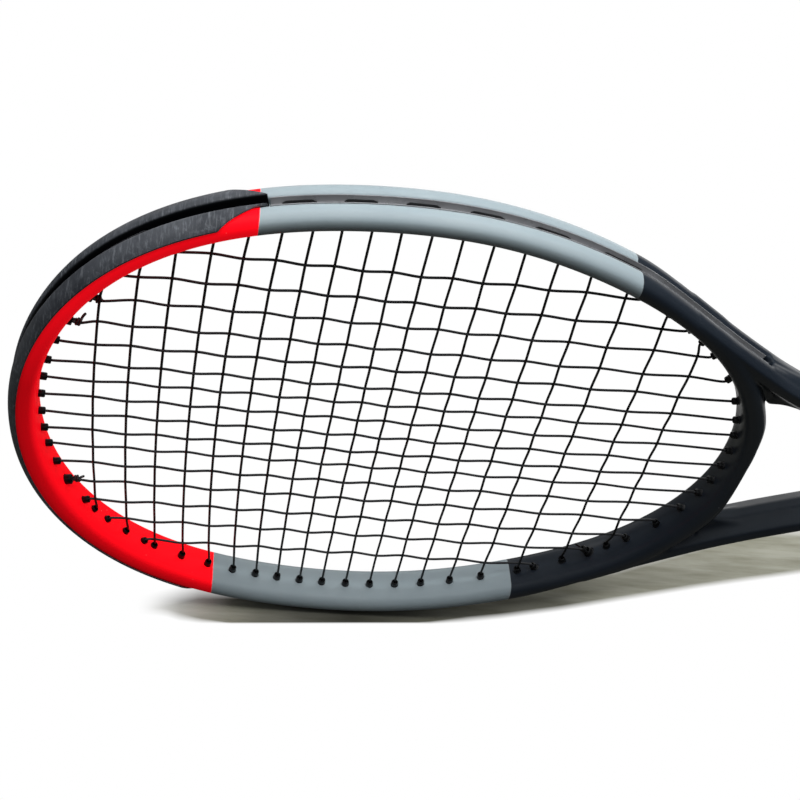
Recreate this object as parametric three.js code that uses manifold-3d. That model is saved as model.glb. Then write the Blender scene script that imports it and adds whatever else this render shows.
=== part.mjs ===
// Tennis racket: one moulded frame with an open throat, a plastic bumper and grommet strips,
// two woven strings, and a handle built up from a foam pallet, a butt cap, a grip and a collar.
// Millimetres. +X runs along the racket from the tip of the head to the butt, +Z is up in the
// plane of the strings, Y is across the beam. The origin is the middle of the butt's end face.
import * as THREE from 'three';
import { mergeVertices } from 'three/addons/utils/BufferGeometryUtils.js';
import Module from 'manifold-3d';

const wasm = await Module();
wasm.setup();

// ---------------------------------------------------------------- driving dimensions
// Head, arms and strings are laid out with x counted from the tenth cross string.
const BUTT_X = 525.0;        // butt end in that count
const HEAD_CENTRE_X = 15.87; // centre of the polar head curve, same count
const HEAD_RADIUS_TERMS = [144.39, 0.08, 22.2, -3.4, 1.82, -1.33, -0.01]; // cosine terms
const HOOP_THICK = 11.56;    // hoop thickness in the string plane
const ARM_THICK = 12.2;      // arm thickness in the string plane
const ARM_START_DEG = 141;   // where the arm leaves the hoop, from the tip round the head
const BUMPER_DEG = 54;       // where the bumper guard stops, same count
const SHAFT_END_X = 353;     // where the shaft steps down into the pallet

// Depths across the hoop, from its inner face
const GROOVE_FLOOR = 8.8;
const STRIP_TOP = 9.9;       // top of the grommet strip in the groove
const LANE = 10.67;          // a string's outside loop
const TAIL_LANE = 12.05;     // a tied-off tail passes over the other loops
const GROOVE_HALF = 2.9;     // string groove, half width

const STRING_R = 0.62;
const WEAVE = 1.5;           // how far a cross string passes from the plane of the mains
const LANE_Y = 1.35;         // mains loop on one side of the groove, crosses on the other

// Main strings: distance from the centre line, on both sides
const MAINS_Z = [5.63, 16.74, 27.27, 39.72, 52.51, 66.73, 80.97, 96.55];
// Cross strings: x at BOW_HALF_WIDTH from the centre line, and the bow added at the centre
const CROSS_X = [-117.69, -103.5, -89.94, -75.81, -62.12, -48.98, -36.65, -24.73, -12.39, 0,
  12.9, 26.2, 39.95, 54.07, 69.54, 85.78, 104.21, 126.34, 148.52];
const CROSS_BOW = [-5.8, -4.7, -4.0, -3.5, -4.2, -3.4, -2.3, -1.3, -0.9, -0.4,
  -0.8, -0.5, -0.4, -0.1, 0.3, 1.0, 1.3, 1.0, 0.6];
const BOW_HALF_WIDTH = 110;

// Outer edge of the upper arm from the hoop to the shaft: [x, z]
const ARM_OUTER = [[157, 86.3], [166.7, 80.8], [176, 75.3], [185.5, 69.8], [195, 64.4],
  [204.5, 59.6], [214.5, 54.9], [226, 49.8], [243, 42.8], [258, 36.5], [272, 30.7], [285, 25.6],
  [298, 20.9], [310, 17.2], [320, 14.9], [328, 14.05], [336, 14.0], [353, 14.0]];

// Octagon sizes of the handle: [half height, half width, bevel]
const SHAFT = [14.0, 11.8, 3.6];
const PALLET = [15.65, 13.65, 8.0];
const GRIP = [17.35, 15.35, 8.7];
const HAIRPIN = [13.0, 10.8, 5.3];   // the pair of tubes inside the pallet
const CAP_SLEEVE = [17.0, 15.0, 8.8];
const DOOR = [11.1, 9.1, 3.0];       // opening in the butt cap

const MATERIALS = {
  frame: { color: 0x8d939b, roughness: 0.35 },
  bumper: { color: 0x2b2d31, roughness: 0.75 },
  grommet: { color: 0x17181b, roughness: 0.5 },
  string: { color: 0x141417, roughness: 0.45 },
  foam: { color: 0xb9ab8a, roughness: 0.9 },
  buttCap: { color: 0x1b1c1f, roughness: 0.5 },
  door: { color: 0x202126, roughness: 0.45 },
  metal: { color: 0xb8bcc2, roughness: 0.35, metalness: 0.9 },
  grip: { color: 0x22232a, roughness: 0.85 },
  tape: { color: 0x1a1b1e, roughness: 0.6 },
  collar: { color: 0x1d1e22, roughness: 0.8 },
};

// ---------------------------------------------------------------- helpers
const RAD = Math.PI / 180;
const SIDES = [1, -1]; // upper (+Z), lower (-Z)
const vec = (x, y, z) => new THREE.Vector3(x, y, z);
const UP = vec(0, 1, 0);
const union = (bodies) => bodies.reduce((whole, body) => whole.add(body));
const cut = (body, cutters) => cutters.reduce((rest, cutter) => rest.subtract(cutter), body);
// the range low..high, or its mirror image when the sign is negative
const mirrorRange = (sign, low, high) => (sign > 0 ? [low, high] : [-high, -low]);

// from the tenth cross string's count to the racket's own origin
const world = (x, y, z) => vec(x - BUTT_X, y, z);

// A path whose rows carry their own frames, so that a section never twists on it
class FramedPath extends THREE.Curve {
  constructor(rows) {
    super();
    this.rows = rows;
  }

  getSpacedPoints() {
    return this.rows.map((row) => row.point);
  }

  computeFrenetFrames() {
    return {
      normals: this.rows.map((row) => row.side),
      binormals: this.rows.map((row) => row.up),
    };
  }
}

// Merges corner vertices, turns the faces outwards and gives a manifold solid
function solid(geometry) {
  const bare = geometry.clone();
  bare.deleteAttribute('normal');
  bare.deleteAttribute('uv');
  const merged = mergeVertices(bare, 1e-4);
  const coords = merged.attributes.position.array;
  const triangles = [];
  for (let i = 0; i < merged.index.count; i += 3) {
    const [a, b, c] = [0, 1, 2].map((k) => merged.index.getX(i + k));
    if (a !== b && b !== c && c !== a) triangles.push(a, b, c);
  }
  let volume = 0;
  for (let i = 0; i < triangles.length; i += 3) {
    const [a, b, c] = [0, 1, 2].map((k) => triangles[i + k] * 3);
    volume += coords[a] * (coords[b + 1] * coords[c + 2] - coords[b + 2] * coords[c + 1])
      - coords[a + 1] * (coords[b] * coords[c + 2] - coords[b + 2] * coords[c])
      + coords[a + 2] * (coords[b] * coords[c + 1] - coords[b + 1] * coords[c]);
  }
  if (volume < 0) {
    for (let i = 0; i < triangles.length; i += 3) {
      [triangles[i], triangles[i + 1]] = [triangles[i + 1], triangles[i]];
    }
  }
  return new wasm.Manifold(new wasm.Mesh({
    numProp: 3,
    vertProperties: new Float32Array(coords),
    triVerts: new Uint32Array(triangles),
  }));
}

// section: pairs along each row's side and up vectors; rows: { point, side, up }
function sweep(section, rows, holeSections = []) {
  const toVectors = (pairs) => pairs.map(([side, up]) => new THREE.Vector2(side, up));
  const shape = new THREE.Shape(toVectors(section));
  for (const pairs of holeSections) shape.holes.push(new THREE.Path(toVectors(pairs)));
  return solid(new THREE.ExtrudeGeometry(shape, {
    steps: rows.length - 1,
    bevelEnabled: false,
    extrudePath: new FramedPath(rows),
  }));
}

// octagon as [z, y] corners
const octagon = ([height, width, bevel]) => [
  [height, -(width - bevel)], [height, width - bevel],
  [height - bevel, width], [-(height - bevel), width],
  [-height, width - bevel], [-height, -(width - bevel)],
  [-(height - bevel), -width], [height - bevel, -width],
];
// offsets an octagon's faces; 0.586 keeps the bevel faces at the same offset
const grow = ([height, width, bevel], offset) => (
  [height + offset, width + offset, bevel + offset * 0.586]);

// straight prism along X, section in [z, y]
function alongX(section, startX, endX, holeSections) {
  const rows = [startX, endX].map((x) => ({ point: vec(x, 0, 0), side: vec(0, 0, 1), up: UP }));
  return sweep(section, rows, holeSections);
}
const octPrism = (size, startX, endX, hollow) => (
  alongX(octagon(size), startX, endX, hollow && [octagon(hollow)]));

// a stepped octagonal body along X: rows of [x, half height, half width, bevel]
function octLoft(rows) {
  const coords = [];
  const triangles = [];
  const corners = 8;
  for (const [x, ...size] of rows) for (const [z, y] of octagon(size)) coords.push(x, y, z);
  for (let row = 0; row + 1 < rows.length; row++) {
    for (let i = 0; i < corners; i++) {
      const j = (i + 1) % corners;
      const here = row * corners;
      const next = here + corners;
      triangles.push(here + i, here + j, next + j, here + i, next + j, next + i);
    }
  }
  const last = (rows.length - 1) * corners;
  for (let i = 1; i + 1 < corners; i++) {
    triangles.push(0, i + 1, i);
    triangles.push(last, last + i, last + i + 1);
  }
  const geometry = new THREE.BufferGeometry();
  geometry.setAttribute('position', new THREE.BufferAttribute(new Float32Array(coords), 3));
  geometry.setIndex(triangles);
  return solid(geometry);
}

// box between two corners
function box(x0, x1, y0, y1, z0, z1) {
  const geometry = new THREE.BoxGeometry(x1 - x0, y1 - y0, z1 - z0);
  geometry.translate((x0 + x1) / 2, (y0 + y1) / 2, (z0 + z1) / 2);
  return solid(geometry);
}

// many-sided rod between two points
function rod(radius, start, end, sideCount = 5) {
  const axis = end.clone().sub(start);
  const geometry = new THREE.CylinderGeometry(radius, radius, axis.length(), sideCount, 1);
  geometry.applyQuaternion(new THREE.Quaternion().setFromUnitVectors(UP, axis.normalize()));
  geometry.translate((start.x + end.x) / 2, (start.y + end.y) / 2, (start.z + end.z) / 2);
  return solid(geometry);
}

// flat plate in the string plane, centred on it; the shape's y becomes Z, times the sign
function plate(shape, depth, curveSegments, sign = 1) {
  const geometry = new THREE.ExtrudeGeometry(shape, { depth, bevelEnabled: false, curveSegments });
  geometry.translate(0, 0, -depth / 2);
  geometry.applyMatrix4(new THREE.Matrix4().set(
    1, 0, 0, -BUTT_X,
    0, 0, 1, 0,
    0, sign, 0, 0,
    0, 0, 0, 1,
  ));
  return solid(geometry);
}

const group = new THREE.Group();
function addPiece(name, body, material) {
  const data = body.getMesh();
  const geometry = new THREE.BufferGeometry();
  const coords = new Float32Array(data.vertProperties);
  geometry.setAttribute('position', new THREE.BufferAttribute(coords, 3));
  geometry.setIndex(new THREE.BufferAttribute(new Uint32Array(data.triVerts), 1));
  geometry.computeVertexNormals();
  const mesh = new THREE.Mesh(geometry, new THREE.MeshStandardMaterial(material));
  mesh.name = name;
  group.add(mesh);
}

// ---------------------------------------------------------------- head curve and outer edge
function outwardNormal(tangentX, tangentZ) {
  const length = Math.hypot(tangentX, tangentZ);
  return { outX: -tangentZ / length, outZ: tangentX / length };
}

// inner face of the hoop: angle 0 is the tip, pi the bridge, negative angles the lower side
function headAt(angle) {
  const cos = Math.cos(angle);
  const sin = Math.sin(angle);
  let radius = 0;
  let slope = 0;
  HEAD_RADIUS_TERMS.forEach((term, k) => {
    radius += term * Math.cos(k * angle);
    slope -= term * k * Math.sin(k * angle);
  });
  return {
    x: HEAD_CENTRE_X - radius * cos,
    z: radius * sin,
    ...outwardNormal(-slope * cos + radius * sin, slope * sin + radius * cos),
  };
}

// outer edge of the upper side: hoop from the tip, then the arm down to the shaft;
// run is the length along the edge from the tip
function buildOuterEdge() {
  const knots = [];
  for (let deg = 0; deg <= ARM_START_DEG; deg += 1.5) {
    const face = headAt(deg * RAD);
    knots.push(new THREE.Vector2(
      face.x + face.outX * HOOP_THICK,
      face.z + face.outZ * HOOP_THICK,
    ));
  }
  for (const [x, z] of ARM_OUTER) knots.push(new THREE.Vector2(x, z));
  const dense = new THREE.SplineCurve(knots).getPoints((knots.length - 1) * 6);
  let run = 0;
  const edge = dense.map((spot, i) => {
    if (i) run += spot.distanceTo(dense[i - 1]);
    const before = dense[Math.max(0, i - 1)];
    const after = dense[Math.min(dense.length - 1, i + 1)];
    return { run, x: spot.x, z: spot.y, ...outwardNormal(after.x - before.x, after.y - before.y) };
  });
  Object.assign(edge[0], { outX: -1, outZ: 0 }); // square to the centre line at the tip
  return edge;
}
const outerEdge = buildOuterEdge();
const EDGE_END = outerEdge[outerEdge.length - 1].run;
const runAtX = (x) => outerEdge.find((spot) => spot.x > x).run;

// point one hoop thickness in from the outer edge; a negative run is the lower side
function edgeAt(run) {
  const side = Math.sign(run) || 1;
  const found = outerEdge.findIndex((spot) => spot.run >= Math.abs(run));
  const i = found < 0 ? outerEdge.length - 1 : Math.max(found, 1);
  const before = outerEdge[i - 1];
  const after = outerEdge[i];
  const part = (Math.abs(run) - before.run) / (after.run - before.run);
  const mix = (key) => before[key] + (after[key] - before[key]) * part;
  const length = Math.hypot(mix('outX'), mix('outZ'));
  const outX = mix('outX') / length;
  const outZ = mix('outZ') / length;
  return {
    x: mix('x') - outX * HOOP_THICK,
    z: side * (mix('z') - outZ * HOOP_THICK),
    outX,
    outZ: side * outZ,
  };
}

// both ends, and every multiple of the step between them, so that touching pieces share stations
function stations(start, end, step) {
  const out = [start];
  for (let k = Math.ceil((start + step * 0.3) / step); k * step < end - step * 0.3; k++) {
    out.push(k * step);
  }
  return [...out, end];
}

const faceRow = (face) => ({
  point: world(face.x, 0, face.z),
  side: vec(face.outX, 0, face.outZ),
  up: UP,
});
// sweeps round the head by angle and along the outer edge by run;
// their sections are [distance out from the inner face, y]
const headSweep = (section, startDeg, endDeg, stepDeg) => (
  sweep(section, stations(startDeg, endDeg, stepDeg).map((deg) => faceRow(headAt(deg * RAD)))));
const edgeSweep = (section, start, end, step) => sweep(
  section,
  stations(Math.min(start, end), Math.max(start, end), step).map((run) => faceRow(edgeAt(run))),
);

const bumperEnd = headAt(BUMPER_DEG * RAD);
const BUMPER_RUN = runAtX(bumperEnd.x + bumperEnd.outX * HOOP_THICK);

// ---------------------------------------------------------------- string holes
// radii of the hole in the frame, the grommet barrel and its bore
const STRING_HOLE = { frame: 2.1, barrel: 1.75, bore: 1.15 };
const TIE_OFF_HOLE = { frame: 2.9, barrel: 2.55, bore: 1.95 };
// holes that also take a tied-off tail: end, string index, side
const TIE_OFFS = [['tip', 4, -1], ['tip', 4, 1], ['tip', 5, 1], ['throat', 6, -1]];
const MOUTH = 3.0;          // how far a barrel stands out of the inner face
const SHOULDER_MOUTH = 1.6; // barrels are shorter where they crowd at the shoulders
const BRIDGE_MAINS = 4;     // mains on each side that end in the bridge

// Mains end at the tip and the throat, crosses at the side. Per end: the string's direction
// [x, z], the angles searched in degrees, and per string how far a hole leans from square to
// the hoop (0) to in line with its string (1).
const ENDS = {
  tip: { along: [-1, 0], search: [0, 75], lean: [0.5, 0.5, 0.5, 0.5, 0.5, 0.4, 0.2, 0.2] },
  throat: { along: [1, 0], search: [180, 100], lean: [0.7, 0.7, 0.7, 0.7, 0, 0.1, 0.4, 0.4] },
  side: {
    along: [0, 1],
    search: [20, 150],
    lean: CROSS_X.map((_, i) => (i < 2 ? 0.2 : i > 15 ? 0.4 : 0.55)),
  },
};
const FIFTH_THROAT_DIRECTION = [0.52, 0.85]; // the fifth main's throat hole has its own lean

const crossXAt = (i, z) => CROSS_X[i] + CROSS_BOW[i] * (1 - (z / BOW_HALF_WIDTH) ** 2);

function holeDirection(end, index, face) {
  const { along: [alongX0, alongZ0], lean } = ENDS[end];
  const share = lean[index];
  const [x, z] = end === 'throat' && index === 4
    ? FIFTH_THROAT_DIRECTION
    : [face.outX * (1 - share) + alongX0 * share, face.outZ * (1 - share) + alongZ0 * share];
  const length = Math.hypot(x, z);
  return [x / length, z / length];
}

// bisects for the angle at which miss() changes sign
function findAngle(miss, startDeg, endDeg) {
  let low = startDeg * RAD;
  let high = endDeg * RAD;
  const positive = miss(low) > 0;
  for (let i = 0; i < 60; i++) {
    const middle = (low + high) / 2;
    if ((miss(middle) > 0) === positive) low = middle;
    else high = middle;
  }
  return (low + high) / 2;
}

// spots of the string lane on the outside; station is a run, or an angle on the bridge
const edgeLaneSpots = outerEdge.map((spot) => ({
  station: spot.run,
  x: spot.x - spot.outX * (HOOP_THICK - LANE),
  z: spot.z - spot.outZ * (HOOP_THICK - LANE),
}));
function bridgeLaneSpots(centre) {
  const spots = [];
  for (let angle = centre - 0.25; angle <= centre + 0.25; angle += 0.0005) {
    const face = headAt(angle);
    spots.push({
      station: angle,
      x: face.x + face.outX * LANE,
      z: face.z + face.outZ * LANE,
    });
  }
  return spots;
}

// the lane spot nearest to a hole's axis, and its distance along the axis
function meetLane(face, [dirX, dirZ], spots) {
  let least = Infinity;
  let best;
  for (const { station, x, z } of spots) {
    const far = (x - face.x) * dirX + (z - face.z) * dirZ;
    if (far < 3 || far > 40) continue;
    const miss = Math.abs((x - face.x) * dirZ - (z - face.z) * dirX);
    if (miss < least) {
      least = miss;
      best = { station, far };
    }
  }
  return best;
}

function makeHole(end, index, sign) {
  const shoulder = (end === 'tip' && index > 5) || (end === 'side' && index < 3);
  const mouth = shoulder ? SHOULDER_MOUTH : MOUTH;
  // how far the mouth of a barrel placed at an angle is from its string
  const miss = (angle) => {
    const face = headAt(angle);
    const [dirX, dirZ] = holeDirection(end, index, face);
    const z = face.z - mouth * dirZ;
    return end === 'side'
      ? face.x - mouth * dirX - crossXAt(index, z)
      : z - MAINS_Z[index];
  };
  const angle = findAngle(miss, ...ENDS[end].search);
  const face = headAt(angle);
  const direction = holeDirection(end, index, face);
  const bridge = end === 'throat' && index < BRIDGE_MAINS;
  const lane = meetLane(face, direction, bridge ? bridgeLaneSpots(angle) : edgeLaneSpots);
  const tieOff = TIE_OFFS.some((id) => id[0] === end && id[1] === index && id[2] === sign);
  return {
    end,
    index,
    sign,
    angle,
    mouth,
    bridge,
    tieOff,
    radii: tieOff ? TIE_OFF_HOLE : STRING_HOLE,
    x: face.x,
    z: sign * face.z,
    dirX: direction[0],
    dirZ: sign * direction[1],
    station: sign * lane.station,
    far: lane.far,
  };
}

const holes = SIDES.flatMap((sign) => [
  ...MAINS_Z.flatMap((_, i) => [makeHole('tip', i, sign), makeHole('throat', i, sign)]),
  ...CROSS_X.map((_, i) => makeHole('side', i, sign)),
]);
const holeAt = (end, index, sign) => (
  holes.find((hole) => hole.end === end && hole.index === index && hole.sign === sign));
// point on a hole's axis, counted outwards from the inner face
const onAxis = (hole, distance, y = 0) => (
  world(hole.x + hole.dirX * distance, y, hole.z + hole.dirZ * distance));

// ---------------------------------------------------------------- frame
// half sections as [distance from the inner face, y]; the arm shares the outer part
const OUTER_HALF = [[4.2, 11.9], [8.0, 11.9], [10.9, 8.2], [HOOP_THICK, 3.4]];
const HOOP_HALF = [[0, 3.8], [1.3, 8.6], ...OUTER_HALF];
const ARM_INNER = HOOP_THICK - ARM_THICK;
const ARM_HALF = [[ARM_INNER, 4.4], [ARM_INNER + 1.4, 8.8], ...OUTER_HALF];
const fullSection = (half) => [...half.map(([depth, y]) => [depth, -y]).reverse(), ...half];

const HAIRPIN_GAP_HALF = 1.5; // half of the gap between the two tubes
const HAIRPIN_WALL = 1.8;

// from inside the hoop to the shaft
function arm(sign) {
  const start = runAtX(140) - 4;
  const steps = 20;
  const rows = [];
  for (let i = 0; i <= steps; i++) {
    rows.push(faceRow(edgeAt(sign * (start + (EDGE_END - start) * i / steps))));
  }
  return sweep(fullSection(ARM_HALF), rows);
}

// between the bridge and an arm, with a hollow round edge
function gusset(sign) {
  const shape = new THREE.Shape();
  shape.moveTo(182, 58);
  shape.lineTo(190.5, 40.5);
  shape.lineTo(195.2, 38.5);
  shape.quadraticCurveTo(196.8, 47.2, 206.5, 45.6);
  shape.lineTo(207.5, 53);
  shape.closePath();
  return plate(shape, 20, 5, sign);
}

// closes the V at the top of the shaft, with a round notch towards the head
function shaftWeb() {
  const startX = 304.5;
  const halfHeight = 9.5;
  const notch = { x: 303.2, radius: 5.2 };
  const shape = new THREE.Shape();
  shape.moveTo(startX, halfHeight);
  shape.absarc(notch.x, 0, notch.radius, Math.PI / 2, -Math.PI / 2, true);
  shape.lineTo(startX, -halfHeight);
  shape.lineTo(SHAFT_END_X, -halfHeight);
  shape.lineTo(SHAFT_END_X, halfHeight);
  shape.closePath();
  return plate(shape, 22.4, 6);
}

function hairpinTube(sign) {
  const [height, width, bevel] = HAIRPIN;
  const inner = HAIRPIN_GAP_HALF;
  const chamfer = 1.5;
  const section = [
    [inner, -width + chamfer], [inner + chamfer, -width],
    [height - bevel, -width], [height, -(width - bevel)],
    [height, width - bevel], [height - bevel, width],
    [inner + chamfer, width], [inner, width - chamfer],
  ];
  return alongX(section.map(([z, y]) => [sign * z, y]), SHAFT_END_X - 0.6 - BUTT_X, -12);
}

// the tube is hollow and open at the butt end
function hairpinBore(sign) {
  const [height, width, bevel] = grow(HAIRPIN, -HAIRPIN_WALL);
  const inner = HAIRPIN_GAP_HALF + HAIRPIN_WALL;
  const section = [
    [inner, -width], [height - bevel, -width], [height, -(width - bevel)],
    [height, width - bevel], [height - bevel, width], [inner, width],
  ];
  return alongX(section.map(([z, y]) => [sign * z, y]), SHAFT_END_X + 4 - BUTT_X, -11);
}

function grooveCutters() {
  const top = HOOP_THICK + 2;
  const section = [[GROOVE_FLOOR, -GROOVE_HALF], [top, -GROOVE_HALF],
    [top, GROOVE_HALF], [GROOVE_FLOOR, GROOVE_HALF]];
  const sideEnd = runAtX(232);
  return [
    headSweep(section, -60, 60, 5),
    ...SIDES.map((sign) => edgeSweep(section, sign * (BUMPER_RUN - 4), sign * sideEnd, 10)),
    headSweep(section, 166.5, 193.5, 3),
  ];
}

function frame() {
  const hoopSection = fullSection(HOOP_HALF);
  const body = union([
    headSweep(hoopSection, -5, 185, 5),
    headSweep(hoopSection, -185, 5, 5),
    ...SIDES.map(arm),
    ...SIDES.map(gusset),
    shaftWeb(),
    octPrism(SHAFT, 330 - BUTT_X, SHAFT_END_X - BUTT_X),
    ...SIDES.map(hairpinTube),
  ]);
  return cut(body, [
    ...grooveCutters(),
    ...SIDES.map(hairpinBore),
    ...holes.map((hole) => (
      rod(hole.radii.frame, onAxis(hole, -5), onAxis(hole, hole.far + 1.6)))),
  ]);
}
addPiece('frame', frame(), MATERIALS.frame);

// ---------------------------------------------------------------- bumper and grommet strips
// adds the barrels of the given holes to a strip and bores them
function withBarrels(strip, list) {
  const topGap = LANE - STRIP_TOP + 0.3; // from the lane in to a barrel's outer end
  const barrels = list.map((hole) => (
    rod(hole.radii.barrel, onAxis(hole, -hole.mouth), onAxis(hole, hole.far - topGap))));
  const bores = list.map((hole) => (
    rod(hole.radii.bore, onAxis(hole, -hole.mouth - 2), onAxis(hole, hole.far + 2))));
  return cut(union([strip, ...barrels]), bores);
}

// a channel that wraps the outside of the hoop and dips into the groove;
// half profiles as [distance from the inner face, y]
const BUMPER_OUTER = [[8.7, 13.05], [11.95, 8.95], [12.9, 3.9], [12.75, 2.35], [STRIP_TOP, 2.15]];
const BUMPER_INNER = [[9.0, 2.65], [11.8, 2.65], [11.8, 3.45], [11.1, 8.3], [8.2, 12.0]];
const BUMPER_SECTION = [
  ...BUMPER_OUTER.map(([depth, y]) => [depth, -y]),
  ...[...BUMPER_OUTER].reverse(),
  ...[...BUMPER_INNER].reverse(),
  ...BUMPER_INNER.map(([depth, y]) => [depth, -y]),
];
const inBumper = (hole) => !hole.bridge && hole.angle < (BUMPER_DEG - 1.2) * RAD;
addPiece('bumper_guard', withBarrels(
  headSweep(BUMPER_SECTION, -BUMPER_DEG, BUMPER_DEG, 5),
  holes.filter(inBumper),
), MATERIALS.bumper);

const STRIP_SECTION = [[9.0, -2.6], [STRIP_TOP, -2.6], [STRIP_TOP, 2.6], [9.0, 2.6]];
function sideStrip(sign) {
  const list = holes.filter((hole) => !hole.bridge && hole.sign === sign && !inBumper(hole));
  const start = BUMPER_RUN + 1.2;
  const end = Math.max(...list.map((hole) => Math.abs(hole.station))) + 4.5;
  return withBarrels(edgeSweep(STRIP_SECTION, sign * start, sign * end, 10), list);
}
addPiece('grommet_strip_upper', sideStrip(1), MATERIALS.grommet);
addPiece('grommet_strip_lower', sideStrip(-1), MATERIALS.grommet);
addPiece('throat_grommet_strip', withBarrels(
  headSweep(STRIP_SECTION, 167, 193, 3),
  holes.filter((hole) => hole.bridge),
), MATERIALS.grommet);

// ---------------------------------------------------------------- strings
const TAIL_Y = 0.75;   // a tail shares its hole with a main, which moves as far the other way
const KNOT_Y = 0.9;
const KNOT_R = 1.0;
const LANE_LEAD = 1.1; // length left free between a hole and the start of its loop
const LANE_STEP = 8;   // spacing of the points along a loop
const BRIDGE_SCALE = 200; // millimetres per radian along the bridge, for that spacing

function knot(point) {
  const geometry = new THREE.SphereGeometry(KNOT_R, 6, 4);
  geometry.translate(point.x, point.y, point.z);
  return solid(geometry);
}

// five-sided string through the points, with a knot at both ends
function knottedString(points) {
  const clean = points.filter((point, i) => i === 0 || point.distanceTo(points[i - 1]) > 0.25);
  const section = [0, 1, 2, 3, 4].map((k) => (
    [STRING_R * Math.cos(k * 72 * RAD), STRING_R * Math.sin(k * 72 * RAD)]));
  const rows = clean.map((point, i) => {
    const before = clean[Math.max(0, i - 1)];
    const after = clean[Math.min(clean.length - 1, i + 1)];
    const tangent = point.clone().sub(before).normalize()
      .add(after.clone().sub(point).normalize())
      .normalize();
    const up = UP.clone().addScaledVector(tangent, -tangent.y).normalize();
    return { point, side: new THREE.Vector3().crossVectors(up, tangent), up };
  });
  return union([sweep(section, rows), knot(points[0]), knot(points[points.length - 1])]);
}

// inner-face point and normal beside a station of a hole's lane
const laneFace = (hole, station) => (hole.bridge ? headAt(station) : edgeAt(station));

// out through a hole, from inside the mouth to the lane
function through(hole, laneY) {
  const holeY = hole.tieOff ? -TAIL_Y : 0;
  const face = laneFace(hole, hole.station);
  const top = onAxis(hole, hole.far - 0.1, holeY + (laneY - holeY) * 0.3);
  top.addScaledVector(vec(face.outX, 0, face.outZ), 0.35);
  return [
    onAxis(hole, -hole.mouth - (hole.tieOff ? 2.8 : 0.6), holeY),
    onAxis(hole, hole.far - 0.65, holeY),
    top,
  ];
}

// along the outside from one hole to the next, without the ends
function loop(from, to, laneY, level = LANE, lead = LANE_LEAD) {
  const scale = from.bridge ? BRIDGE_SCALE : 1;
  const span = to.station - from.station;
  const length = Math.abs(span) * scale - 2 * lead;
  const count = Math.max(1, Math.round(length / LANE_STEP));
  const points = [];
  for (let i = 0; i <= count; i++) {
    const offset = (lead + length * i / count) / scale;
    const face = laneFace(from, from.station + Math.sign(span) * offset);
    points.push(world(face.x + face.outX * level, laneY, face.z + face.outZ * level));
  }
  return points;
}

// a tail going in through a tie-off hole to its knot; over and y place its outer end
const tail = (hole, over, y) => [
  onAxis(hole, hole.far + over, y),
  onAxis(hole, hole.far - 1, TAIL_Y),
  onAxis(hole, -hole.mouth - 0.3, TAIL_Y),
  onAxis(hole, -hole.mouth - 1.6, KNOT_Y),
];

// one side of the main string, from the first main's tip hole to the tail at the fifth main
function mainRun(sign) {
  const points = [];
  MAINS_Z.forEach((z, i) => {
    const ends = i % 2 === 0 ? ['tip', 'throat'] : ['throat', 'tip'];
    const [from, to] = ends.map((end) => holeAt(end, i, sign));
    // where the string straightens out inside a mouth
    const straight = (hole) => (
      world(hole.x - hole.dirX * (hole.mouth + (hole.tieOff ? 6 : 2.4)), 0, sign * z));
    points.push(...through(from, -LANE_Y).reverse(), straight(from), straight(to));
    if (i === MAINS_Z.length - 1) {
      const tied = holeAt('tip', 4, sign);
      points.push(
        onAxis(to, -to.mouth - 0.6),
        onAxis(to, to.far + 0.2),
        onAxis(to, to.far + 1.1, 0.35),
        ...loop(to, tied, TAIL_Y, TAIL_LANE, 1.4),
        ...tail(tied, 0.5, TAIL_Y),
      );
    } else {
      const level = to.end === 'throat' && !to.bridge ? LANE + 0.35 : LANE;
      const next = holeAt(to.end, i + 1, sign);
      points.push(...through(to, -LANE_Y), ...loop(to, next, -LANE_Y, level, 1.0));
    }
  });
  return points;
}
addPiece('main_string', knottedString([
  ...mainRun(-1).reverse(),
  ...loop(holeAt('tip', 0, -1), holeAt('tip', 0, 1), -LANE_Y),
  ...mainRun(1),
]), MATERIALS.string);

// one cross between its two side holes, over and under the mains; side is where it starts
function weave(index, side, from, to) {
  const mouthZ = (hole) => Math.abs(hole.z) - hole.mouth * Math.abs(hole.dirZ);
  const reach = Math.min(mouthZ(from), mouthZ(to)) - 1.5;
  const mains = [...[...MAINS_Z].reverse(), ...MAINS_Z.map((z) => -z)]; // from the top down
  if (side < 0) mains.reverse();
  const points = [];
  mains.forEach((z, k) => {
    if (Math.abs(z) > reach) return;
    const place = side > 0 ? k : mains.length - 1 - k; // counted from the top
    const y = (index + place) % 2 === 0 ? WEAVE : -WEAVE;
    points.push(world(crossXAt(index, z), y, z));
  });
  return points;
}

// one cross string, tied off at the sixth main of the tip (upper side) and at the seventh main
// of the throat (lower side)
function crossPoints() {
  const first = holeAt('tip', 5, 1);
  const last = holeAt('throat', 6, -1);
  const points = [
    ...tail(first, 0.1, 1.0).reverse(),
    ...loop(first, holeAt('side', 0, 1), LANE_Y),
  ];
  CROSS_X.forEach((_, i) => {
    const side = i % 2 === 0 ? 1 : -1;
    const from = holeAt('side', i, side);
    const to = holeAt('side', i, -side);
    const next = i < CROSS_X.length - 1 ? holeAt('side', i + 1, -side) : last;
    points.push(
      ...through(from, LANE_Y).reverse(),
      ...weave(i, side, from, to),
      ...through(to, LANE_Y),
      ...loop(to, next, LANE_Y),
    );
  });
  return [...points, ...tail(last, 0.1, 1.0)];
}
addPiece('cross_string', knottedString(crossPoints()), MATERIALS.string);

// ---------------------------------------------------------------- handle
const GRIP_TOP = -170.0; // end of the grip towards the head
const GRIP_LOW = -17.0;  // its end over the butt cap
const COLLAR_START = -184.0;
const COLLAR_END = -160.0;
const STAPLE_X = -24;
const TACK_X = -23;

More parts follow.
